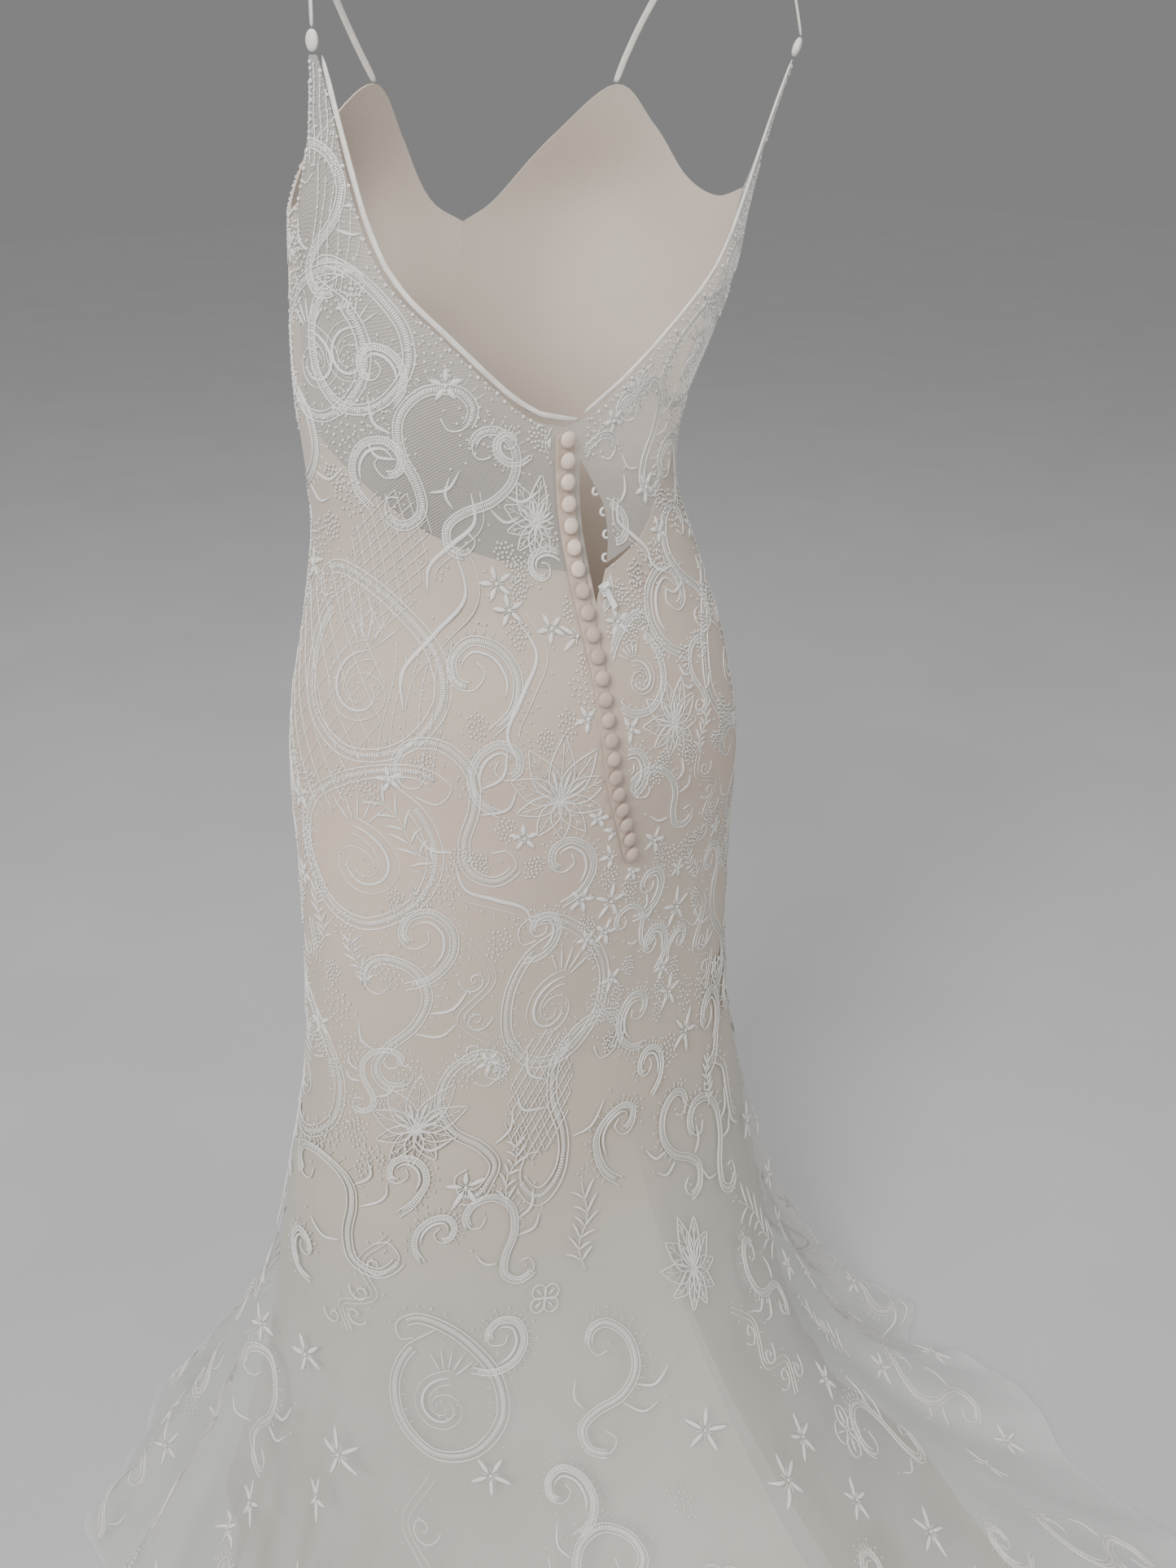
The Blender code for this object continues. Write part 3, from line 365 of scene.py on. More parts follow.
# %% Finishes of the net
def net_finish(name, colour, open_alpha, thread_alpha, pitch, fades_at=None):
    finish, shader = new_finish(name, 0.75, sheen=0.35)
    place = node(finish, "ShaderNodeTexCoord")
    turned = node(finish, "ShaderNodeMapping", Vector=place.outputs["UV"], Rotation=(0.0, 0.0, math.pi / 4))
    mesh = maths(finish, "MAXIMUM", waves(finish, turned.outputs[0], 0, pitch),
                 waves(finish, turned.outputs[0], 1, pitch))
    thread = maths(finish, "POWER", mesh, 6.0)
    cloud = node(finish, "ShaderNodeTexNoise", Vector=place.outputs["Object"], Scale=11.0, Detail=4.0)
    soft = maths(finish, "MULTIPLY", cloud.outputs[0], 0.12)
    alpha = maths(finish, "ADD", maths(finish, "MULTIPLY", thread, thread_alpha), soft)
    alpha = maths(finish, "ADD", alpha, open_alpha - 0.06)
    if fades_at is not None:
        height = node(finish, "ShaderNodeSeparateXYZ", Vector=place.outputs["Object"]).outputs[2]
        below = maths(finish, "SUBTRACT", fades_at, height)
        share = maths(finish, "MINIMUM",
                      maths(finish, "MAXIMUM", maths(finish, "MULTIPLY", below, 7.0), 0.0), 1.0)
        alpha = maths(finish, "MULTIPLY", alpha, share)
    link(finish, alpha, shader.inputs["Alpha"])
    tint = ramp(finish, cloud.outputs[0], ((0.2, tuple(0.92 * c for c in colour)), (0.8, colour)))
    link(finish, tint, shader.inputs["Base Color"])
    return finish


sheer_net = net_finish("sheer_net", (0.74, 0.72, 0.69), 0.10, 0.34, 0.0016)
skirt_net = net_finish("skirt_net", (0.80, 0.79, 0.77), 0.15, 0.14, 0.0012, KNEE_LEVEL - SHOULDER_HEIGHT)
print("net finishes", sheer_net.name, skirt_net.name)

# %% [markdown]
# Embroidery thread is glossy along its fibres. The stitches run across each ribbon, so
# the bump follows the ribbon's own UV, and a slow noise gives each stretch of thread
# its own tone. The stitch wave also darkens the colour between the stitches, which is
# painted shade in the grooves. Ladder stitches are the same thread with holes between
# the rungs.

# %% Finishes of the thread
def thread_finish(name, colour, pitch, rungs=False):
    finish, shader = new_finish(name, 0.42, sheen=0.30)
    shader.inputs["Specular IOR Level"].default_value = 0.55
    place = node(finish, "ShaderNodeTexCoord")
    stitch = waves(finish, place.outputs["UV"], 0, pitch)
    cloud = node(finish, "ShaderNodeTexNoise", Vector=place.outputs["Object"], Scale=60.0, Detail=2.0)
    # the stitch wave darkens the colour between stitches: painted shade in the grooves; the noise is the
    # thread's own tone
    shade = maths(finish, "ADD", maths(finish, "MULTIPLY", stitch, 0.45),
                  maths(finish, "MULTIPLY", cloud.outputs[0], 0.75))
    dark = tuple(0.70 * c for c in colour)
    link(finish, ramp(finish, shade, ((0.10, dark), (0.62, colour))), shader.inputs["Base Color"])
    bump(finish, shader, stitch, 0.0003, 0.7)
    if rungs:
        solid = maths(finish, "GREATER_THAN", stitch, 0.42)
        link(finish, maths(finish, "MAXIMUM", solid, 0.10), shader.inputs["Alpha"])
    return finish


ivory = (0.92, 0.89, 0.84)
satin_thread = thread_finish("satin_stitch", ivory, 0.0007)
cord_thread = thread_finish("cord_stitch", (0.90, 0.87, 0.82), 0.0013)
ladder_thread = thread_finish("ladder_stitch", (0.88, 0.85, 0.80), 0.0016, rungs=True)
print("threads", satin_thread.name, cord_thread.name, ladder_thread.name)

# %% [markdown]
# The buttons are covered in the lining's satin and the straps and edges in a paler
# one. The elastic loops and the slider are white.

# %% Finishes of the trims
def satin_finish(name, colour, roughness, pitch):
    finish, shader = new_finish(name, roughness, sheen=0.3)
    place = node(finish, "ShaderNodeTexCoord")
    cloud = node(finish, "ShaderNodeTexNoise", Vector=place.outputs["Object"], Scale=90.0, Detail=3.0)
    light = tuple(min(1.0, 1.08 * c) for c in colour)
    dark = tuple(0.86 * c for c in colour)
    link(finish, ramp(finish, cloud.outputs[0], ((0.3, dark), (0.7, light))), shader.inputs["Base Color"])
    weave = maths(finish, "MULTIPLY", waves(finish, place.outputs["Object"], 0, pitch),
                  waves(finish, place.outputs["Object"], 2, pitch))
    bump(finish, shader, weave, 0.0001, 0.5)
    return finish


blush_satin = satin_finish("blush_satin", (0.80, 0.64, 0.53), 0.36, 0.0006)
netted_satin = satin_finish("netted_satin", (0.56, 0.45, 0.37), 0.55, 0.0010)
edge_satin = satin_finish("edge_satin", (0.80, 0.75, 0.69), 0.42, 0.0007)
white_cord = satin_finish("white_elastic", (0.86, 0.86, 0.84), 0.55, 0.0005)
white_enamel = satin_finish("white_enamel", (0.84, 0.84, 0.82), 0.30, 0.0030)
print("trim finishes ready")

# %% [markdown]
# A cloth panel is a grid of places on the form, made into a thin closed shell. Soft
# goods are the one thing built straight from mesh code here, because a sheet is best
# described by the surface it hangs on.

# %% Helpers for cloth
def mesh_object(name, points, faces, uvs, finish):
    mesh = bpy.data.meshes.new(name)
    mesh.from_pydata(points.tolist(), [], faces.tolist() if hasattr(faces, "tolist") else faces)
    layer = mesh.uv_layers.new(name="UVMap")
    corners = np.empty(len(mesh.loops), np.int32)
    mesh.loops.foreach_get("vertex_index", corners)
    layer.data.foreach_set("uv", np.asarray(uvs, np.float32)[corners].ravel())
    mesh.materials.append(finish)
    mesh.shade_smooth()
    piece = bpy.data.objects.new(name, mesh)
    bpy.context.scene.collection.objects.link(piece)
    return piece


def shell(name, outer, out, thickness, uvs, finish):
    """A closed thin wall below a grid of points, with `out` its outward directions."""
    rows, columns = outer.shape[:2]
    inner = outer - out * thickness
    inner[..., 2] = np.maximum(inner[..., 2], -SHOULDER_HEIGHT)
    index = np.arange(rows * columns).reshape(rows, columns)
    quads = np.stack((index[:-1, :-1], index[:-1, 1:], index[1:, 1:], index[1:, :-1]), -1).reshape(-1, 4)
    sample = outer.reshape(-1, 3)[quads[len(quads) // 2]]
    facing = np.cross(sample[1] - sample[0], sample[2] - sample[1])
    if facing @ out.reshape(-1, 3)[quads[len(quads) // 2][0]] < 0:
        quads = quads[:, ::-1]
    under = quads[:, ::-1] + rows * columns
    rim = np.concatenate((index[0], index[1:, -1], index[-1, -2::-1], index[-2:0:-1, 0]))
    after = np.roll(rim, -1)
    walls = np.stack((rim, after, after + rows * columns, rim + rows * columns), -1)
    edges = {(a, b) for q in quads.tolist() for a, b in zip(q, q[1:] + q[:1])}
    if (int(rim[0]), int(after[0])) in edges:
        walls = walls[:, ::-1]
    points = np.concatenate((outer.reshape(-1, 3), inner.reshape(-1, 3)))
    both = np.concatenate((uvs.reshape(-1, 2), uvs.reshape(-1, 2)))
    piece = mesh_object(name, points, np.concatenate((quads, under, walls)), both, finish)
    piece.data.set_sharp_from_angle(angle=math.radians(50.0))
    return piece


def grid_uv(points):
    """Lengths in metres along the rows and down the columns of a grid."""
    across = np.linalg.norm(np.diff(points, axis=1), axis=-1).mean(0)
    down = np.linalg.norm(np.diff(points, axis=0), axis=-1).mean(1)
    u = np.concatenate(((0.0,), np.cumsum(across)))
    v = np.concatenate(((0.0,), np.cumsum(down)))
    return np.stack(np.meshgrid(u, v), -1)


def hang(piece, cad_nodes):
    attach(piece, "gown")
    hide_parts(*cad_nodes)


print("cloth helpers ready")

# %% [markdown]
# The lined panels run from the hem to the sheer back or to the neckline. They are cut
# at the seams of the real gown, with a hair's gap at each seam, and they carry soft
# creases: fine drag lines at the waist and knee that the coarse solids leave out.

# %% Lined panels
PANELS = (("back", 0.0, 42.0), ("side_back", 42.0, 88.0),
          ("side_front", 88.0, 140.0), ("front", 140.0, 180.0))
SEAM_GAP = 0.004
CREASES = (  # angle, level, half width, half height, depth
    (30.0, 0.985, 7.0, 0.010, 0.0016), (-24.0, 0.990, 6.0, 0.009, 0.0014),
    (52.0, 0.565, 9.0, 0.012, 0.0024), (-40.0, 0.580, 8.0, 0.011, 0.0020),
    (8.0, 0.600, 10.0, 0.010, 0.0016), (120.0, 1.020, 9.0, 0.009, 0.0016),
    (-125.0, 1.030, 9.0, 0.010, 0.0015), (150.0, 0.600, 9.0, 0.012, 0.0018),
    (-150.0, 0.585, 9.0, 0.012, 0.0018), (75.0, 0.700, 6.0, 0.014, 0.0014))


def creased(points, out, angle, level):
    depth = 0.0
    for at, height, half_width, half_height, deep in CREASES:
        off = (signed(angle - at) / half_width) ** 2 + ((level - height) / half_height) ** 2
        depth = depth + deep * np.exp(-off)
    return points - out * depth[..., None]


def panel_levels(angles, sheer):
    tops = np.where(np.abs(angles) <= SIDE_SEAM, read(SHEER_EDGE, 1, np.abs(angles)), top_edge(angles))
    if not sheer:
        tops = read(NECKLINE, 1, np.abs(angles))
    upper = tops[None, :] + (0.93 - tops[None, :]) * np.linspace(0, 1, 36)[:, None]
    lower = np.concatenate((np.linspace(0.93, KNEE_LEVEL, 42)[1:], np.linspace(KNEE_LEVEL, 0.0, 56)[1:]))
    return np.concatenate((upper, np.repeat(lower[:, None], len(angles), 1)))


for side, hand in ((1, "left"), (-1, "right")):
    for name, start, end in PANELS:
        columns = int((end - start) / 1.8)
        share = np.linspace(0.0, 1.0, columns)
        base = start + (end - start) * share
        levels = panel_levels(base, start < SIDE_SEAM)
        angles = side * np.broadcast_to(base + SEAM_GAP - 2 * SEAM_GAP * share, levels.shape)
        if start == 0.0:
            edge = side * closure(levels, side)
            angles = side * (edge + (end - SEAM_GAP - edge) * share)
        points = lined(angles, levels)
        out = normal(lined, angles, levels)
        points = creased(points, out, angles, levels)
        piece = shell(f"{name}_{hand}_lining", points, out, 0.0012, grid_uv(points), lining)
        hang(piece, [f"{name}_{hand}"])

# %% [markdown]
# The sheer back is a single layer of net from the lining up to the V and the armhole.
# It follows the body, so its grid runs in columns from the sheer edge to the top edge.

# %% Sheer back
for side, hand in ((1, "left"), (-1, "right")):
    share = np.linspace(0.0, 1.0, 90)
    first = side * float(closure(V_EDGE[0, 1], side))
    base = first + (SIDE_SEAM - first) * share**0.9
    low, high = read(SHEER_EDGE, 1, np.maximum(base, 0.0)), top_edge(base)
    rows = np.linspace(1.0, 0.0, 44)[:, None]
    levels = low + 0.0008 + (high - low - 0.0016) * rows
    edge = side * closure(levels, side)
    angles = side * (edge + (SIDE_SEAM - edge) * share**0.9)
    points, out = lined(angles, levels), normal(lined, angles, levels)
    piece = shell(f"sheer_back_{hand}", points, out, 0.0004, grid_uv(points), sheer_net)
    girth = lined(side * np.linspace(float(edge.max()), SIDE_SEAM, 60), np.full(60, 1.12))
    rise = lined(np.full(60, side * 72.0), np.linspace(SHEER_EDGE[0, 1], V_EDGE[-1, 1], 60))
    hang(piece, [f"lace_back_{hand}"])

# %% [markdown]
# The net skirt leaves the lining at the knee and spreads over the floor. Fine soft
# folds are added to the broad ones of the solids: narrow ridges of uneven width and
# height that fan out towards the hem, as loose net does under its own weight.

# %% Net skirt
FINE_FOLDS = tuple(
    (float(angle), float(width), float(depth), float(begins))
    for angle, width, depth, begins in zip(
        np.linspace(-178.0, 178.0, 58) + 2.2 * np.sin(np.arange(58) * 2.3),
        3.2 + 1.1 * np.sin(np.arange(58) * 1.7),
        0.0080 + 0.0040 * np.sin(np.arange(58) * 2.9),
        0.22 + 0.14 * np.sin(np.arange(58) * 1.3)))


def loose_net(angle, level):
    down = 1.0 - np.clip(level, 0.0, KNEE_LEVEL) / KNEE_LEVEL
    points = net(angle, level)
    fine = fold_depth(FINE_FOLDS, angle, down) * (0.35 + 0.65 * down)
    points = points + normal(net, angle, level, 0.004) * fine[..., None]
    points[..., 2] = np.maximum(points[..., 2], NET_WALL - SHOULDER_HEIGHT)
    return points


for side, hand in ((1, "left"), (-1, "right")):
    for name, start, end in PANELS:
        columns = int((end - start) / 0.75)
        share = np.linspace(0.0, 1.0, columns)
        base = start + SEAM_GAP + (end - start - 2 * SEAM_GAP) * share
        levels = np.repeat(np.linspace(KNEE_LEVEL - 0.001, 0.0, 76)[:, None], columns, 1)
        angles = side * np.broadcast_to(base, levels.shape)
        points = loose_net(angles, levels)
        out = normal(net, angles, levels)
        piece = shell(f"{name}_{hand}_net", points, out, 0.0004, grid_uv(points), skirt_net)
        hang(piece, [f"net_{name}_{hand}"])

# %% [markdown]
# Embroidery is drawn flat first. Each motif is a list of strokes in its own small
# square, one unit high: corded outlines, ladder bands, tapered satin leaves, dashes
# and knots. The shapes are the common ones of corded lace, such as scrolls, paisleys,
# lotus and star flowers, and the drawing here is this gown's own.

# %% Drawing helpers
def curve(points, count=48):
    """A smooth line through points, evenly divided between them."""
    points = np.asarray(points, float)
    padded = np.concatenate((2 * points[:1] - points[1:2], points, 2 * points[-1:] - points[-2:-1]))
    at = np.linspace(0, len(points) - 1.0001, count)
    i, t = at.astype(int), (at % 1.0)[:, None]
    a, b, c, d = (padded[i + k] for k in range(4))
    return 0.5 * (2 * b + (c - a) * t + (2 * a - 5 * b + 4 * c - d) * t**2 + (3 * b - a - 3 * c + d) * t**3)


def spiral(centre, start_radius, end_radius, start, turns, count=40):
    share = np.linspace(0, 1, count)
    radius = start_radius * (end_radius / start_radius) ** share
    angle = np.radians(start + 360.0 * turns * share)
    return np.stack((centre[0] + radius * np.cos(angle), centre[1] + radius * np.sin(angle)), -1)


def beside(line, offset):
    """The line moved sideways, to its left where offset is positive."""
    along = np.gradient(line, axis=0)
    along /= np.maximum(np.linalg.norm(along, axis=1, keepdims=True), 1e-9)
    return line + offset * np.stack((-along[:, 1], along[:, 0]), -1)


def leaf(base, direction, length, width, count=12):
    """Both edges of a leaf, from its base round its tip and back."""
    share = np.linspace(0, 1, count)
    half = width / 2 * np.sin(math.pi * share**0.8)
    turn = math.radians(direction)
    along, across = np.array((math.cos(turn), math.sin(turn))), np.array((-math.sin(turn), math.cos(turn)))
    left = base + share[:, None] * length * along + half[:, None] * across
    right = base + share[:, None] * length * along - half[:, None] * across
    return np.concatenate((left, right[::-1][1:]))


def ray(base, direction, near, far):
    turn = math.radians(direction)
    along = np.array((math.cos(turn), math.sin(turn)))
    return np.stack((base + near * along, base + (near + far) / 2 * along, base + far * along))


def comb(line, offset, length, every=2):
    """Short stitches that stand off a line on one side, like a comb."""
    near, far = beside(line, offset), beside(line, offset + math.copysign(length, offset))
    return [("dash", np.stack((a, (a + b) / 2, b)), 0.0009) for a, b in zip(near[::every], far[::every])]


def knots(points, radius=0.0011):
    return [("knot", np.asarray(points, float), radius)]


print("a curve has", len(curve(((0, 0), (1, 1)))), "points")

# %% [markdown]
# A paisley is a teardrop with a curled tip: two cords with ladder stitches between
# them, a satin scroll inside, and knots outside. A scroll is the same double cord on
# an S line with a comb along its swell. Widths are real ones, in metres, whatever the
# size of the motif, because thread doesn't grow with the drawing.

# %% Scrolls and paisleys
CORD, FINE, SATIN, LADDER = 0.0013, 0.0008, 0.0030, 0.0042


def paisley():
    rim = curve(((0.16, 1.0), (0.37, 0.80), (0.43, 0.50), (0.31, 0.19), (0.02, 0.02), (-0.28, 0.12),
                 (-0.43, 0.42), (-0.36, 0.72), (-0.16, 0.93), (0.08, 1.06), (0.32, 1.09),
                 (0.47, 0.98), (0.42, 0.86), (0.31, 0.90)), 96)
    inner = beside(rim[6:78], -0.075)
    heart = spiral((0.0, 0.42), 0.24, 0.035, 95, -1.25)
    strokes = [("cord", rim, CORD), ("cord", inner, CORD), ("ladder", beside(rim[6:78], -0.037), LADDER),
               ("satin", heart[:30], SATIN), ("cord", beside(heart, 0.055), FINE),
               ("cord", beside(heart, -0.05), FINE)]
    for turn in (52, 72, 92, 112, 132):
        strokes.append(("satin", ray(np.array((0.02, 0.62)), turn, 0.08, 0.25), 0.0018))
    strokes += comb(inner[8:62], -0.012, 0.045, 3)
    strokes += knots(beside(rim[40:84:3], 0.055)) + knots(spiral((0.0, 0.42), 0.13, 0.05, 60, 1.0, 9))
    return strokes


def scroll():
    line = curve(((0.12, 0.78), (0.20, 0.70), (0.31, 0.75), (0.32, 0.90), (0.18, 1.00), (-0.04, 0.94),
                  (-0.17, 0.72), (-0.12, 0.46), (0.04, 0.24), (0.10, 0.04), (-0.02, -0.10),
                  (-0.18, -0.06), (-0.19, 0.08), (-0.09, 0.11)), 88)
    body = line[14:74]
    strokes = [("cord", beside(body, 0.036), CORD), ("cord", beside(body, -0.036), CORD),
               ("ladder", body, LADDER), ("cord", line[:16], CORD), ("cord", line[72:], CORD)]
    strokes += comb(body[8:34], -0.05, 0.055, 2)
    strokes.append(("satin", curve(((-0.20, 0.58), (-0.36, 0.62), (-0.44, 0.80)), 12), 0.0032))
    strokes.append(("satin", curve(((-0.14, 0.40), (-0.32, 0.38), (-0.42, 0.50)), 12), 0.0028))
    strokes.append(("satin", curve(((0.13, 0.20), (0.27, 0.26), (0.33, 0.42)), 12), 0.0026))
    strokes += knots(((0.13, 0.84), (-0.12, 0.03), (0.36, 0.48), (-0.47, 0.85), (-0.46, 0.54)))
    strokes += knots(beside(line[20:44:3], -0.135))
    return strokes


def hook():
    line = curve(((-0.10, -0.02), (0.16, 0.10), (0.32, 0.36), (0.28, 0.66), (0.06, 0.84), (-0.18, 0.76),
                  (-0.24, 0.54), (-0.10, 0.42), (0.05, 0.50), (0.03, 0.62)), 72)
    strokes = [("cord", line, CORD), ("cord", beside(line[:56], 0.075), CORD),
               ("ladder", beside(line[2:54], 0.038), LADDER), ("satin", beside(line[10:44], 0.13), SATIN)]
    strokes += comb(line[6:48], -0.015, 0.05, 2) + knots(beside(line[8:50:4], -0.11))
    return strokes


def stem():
    line = curve(((0.02, 0.0), (0.12, 0.22), (0.02, 0.50), (-0.08, 0.76), (0.06, 1.0)), 40)
    return ([("satin", line, 0.0040), ("cord", beside(line[4:], 0.08), FINE)]
            + knots(beside(line[6:36:4], 0.13)))


print("paisley strokes", len(paisley()), "scroll strokes", len(scroll()), "hook strokes", len(hook()))

# %% [markdown]
# Flowers come in two kinds. The lotus is an open outline with veined petals and a pair
# of veined leaves below it. The star is small and worked solid in satin stitch.

# %% Flowers, leaves and grounds
def petal(base, direction, length, width):
    outline = leaf(base, direction, length, width)
    strokes = [("cord", outline, CORD), ("cord", ray(base, direction, 0.03, length * 0.86), FINE)]
    half = len(outline) // 2
    middle = base + np.linspace(0, 1, half + 1)[:, None] * (outline[half] - base)
    for k in (3, 5, 7, 9):
        for edge in (outline[k], outline[-k - 1]):
            root = middle[max(k - 2, 0)]
            strokes.append(("dash", np.stack((root, (root + edge) / 2, edge)), 0.0008))
    return strokes


def lotus():
    base = np.array((0.0, 0.38))
    strokes = []
    for direction, length in ((90, 0.58), (55, 0.54), (125, 0.54), (22, 0.48), (158, 0.48)):
        strokes += petal(base, direction, length, 0.23)
    for direction in (-18, -58, 198, 238, -90):
        strokes += petal(base, direction, 0.40, 0.17)
    for direction in (38, 73, 107, 142):
        strokes.append(("satin", ray(base, direction, 0.07, 0.30), 0.0030))
    return strokes + knots(spiral(base, 0.075, 0.03, 0, 1.6, 8))


def star():
    base = np.array((0.0, 0.5))
    strokes = [("satin", ray(base, 90 + 72 * k, 0.06, 0.46), 0.0048) for k in range(5)]
    strokes += [("cord", ray(base, 54 + 72 * k, 0.05, 0.20), FINE) for k in range(5)]
    return strokes + knots((base,), 0.0018)


def sprig():
    line = curve(((0.0, 0.0), (0.10, 0.30), (0.02, 0.62), (0.12, 1.0)), 30)
    strokes = [("cord", line, FINE)]
    for k in range(4, 28, 4):
        for side in (1, -1):
            tip = beside(line, side * 0.17)[min(k + 4, 29)]
            strokes.append(("satin", curve((line[k], (line[k] + tip) / 2 + (0, 0.02), tip), 8), 0.0026))
    return strokes + knots(((0.12, 1.06), (0.06, 1.1), (0.18, 1.1), (0.12, 1.15)))


def quatrefoil():
    base = np.array((0.0, 0.5))
    strokes = []
    for k in range(4):
        turn = math.radians(45 + 90 * k)
        centre = base + 0.24 * np.array((math.cos(turn), math.sin(turn)))
        strokes.append(("cord", spiral(centre, 0.19, 0.19, 45 + 90 * k + 180, 1.0, 20), CORD))
        strokes.append(("satin", ray(base, 45 + 90 * k, 0.10, 0.36), 0.0026))
    return strokes + knots((base,), 0.0017)


def trellis():
    strokes, places = [], []
    for step in np.arange(-0.9, 0.91, 0.13):
        for slope in (1, -1):
            low, high = -0.5, 0.5
            line = np.stack((np.linspace(low, high, 24) * 0.55,
                             slope * np.linspace(low, high, 24) + step), -1)
            line = line[(line[:, 0] / 0.27) ** 2 + (line[:, 1] / 0.5) ** 2 < 1.0]
            if len(line) > 3:
                strokes.append(("cord", line + (0.0, 0.5), FINE))
    for row in np.arange(-0.455, 0.46, 0.065):
        for across in np.arange(-0.25, 0.26, 0.0358):
            on_line = abs(((row + across / 0.55) / 0.13) % 1.0 - 0.5) < 0.12
            if on_line and (across / 0.27) ** 2 + (row / 0.5) ** 2 < 1.0:
                places.append((across, row + 0.5))
    return strokes + (knots(places[::2], 0.0010) if places else [])


def strings():
    strokes, places = [], []
    for number, across in enumerate((-0.20, -0.12, -0.04, 0.05, 0.13, 0.20)):
        share = np.linspace(0.06 * (number % 3), 1.0 - 0.07 * ((number * 2) % 3), 26)
        line = np.stack((across + 0.012 * np.sin(9 * share + number), share), -1)
        strokes.append(("cord", line, FINE))
        places += list(line[number % 2::3])
    return strokes + knots(places, 0.0011)


def seeds():
    number = np.arange(24)
    radius, turn = 0.47 * np.sqrt((number + 0.5) / 24), number * 2.39996
    return knots(np.stack((0.7 * radius * np.cos(turn), 0.5 + radius * np.sin(turn)), -1), 0.0012)


def vine():
    line = curve(((0.02, 0.0), (-0.14, 0.20), (0.10, 0.44), (-0.10, 0.70), (0.06, 1.0)), 60)
    strokes = [("cord", beside(line, 0.022), FINE), ("cord", beside(line, -0.022), FINE)]
    for k, side in ((8, 1), (20, -1), (32, 1), (44, -1)):
        centre = beside(line, side * 0.12)[k]
        strokes.append(("cord", spiral(centre, 0.11, 0.02, 180 if side > 0 else 0, side * 1.3, 24), CORD))
    return strokes + knots(beside(line, 0.07)[4::6]) + knots(beside(line, -0.07)[7::6])


MOTIFS = {"paisley": paisley, "scroll": scroll, "hook": hook, "stem": stem, "lotus": lotus, "star": star,
          "sprig": sprig, "quatrefoil": quatrefoil, "trellis": trellis, "strings": strings, "seeds": seeds,
          "vine": vine}
DRAWN = {name: draw() for name, draw in MOTIFS.items()}
print({name: len(strokes) for name, strokes in DRAWN.items()})
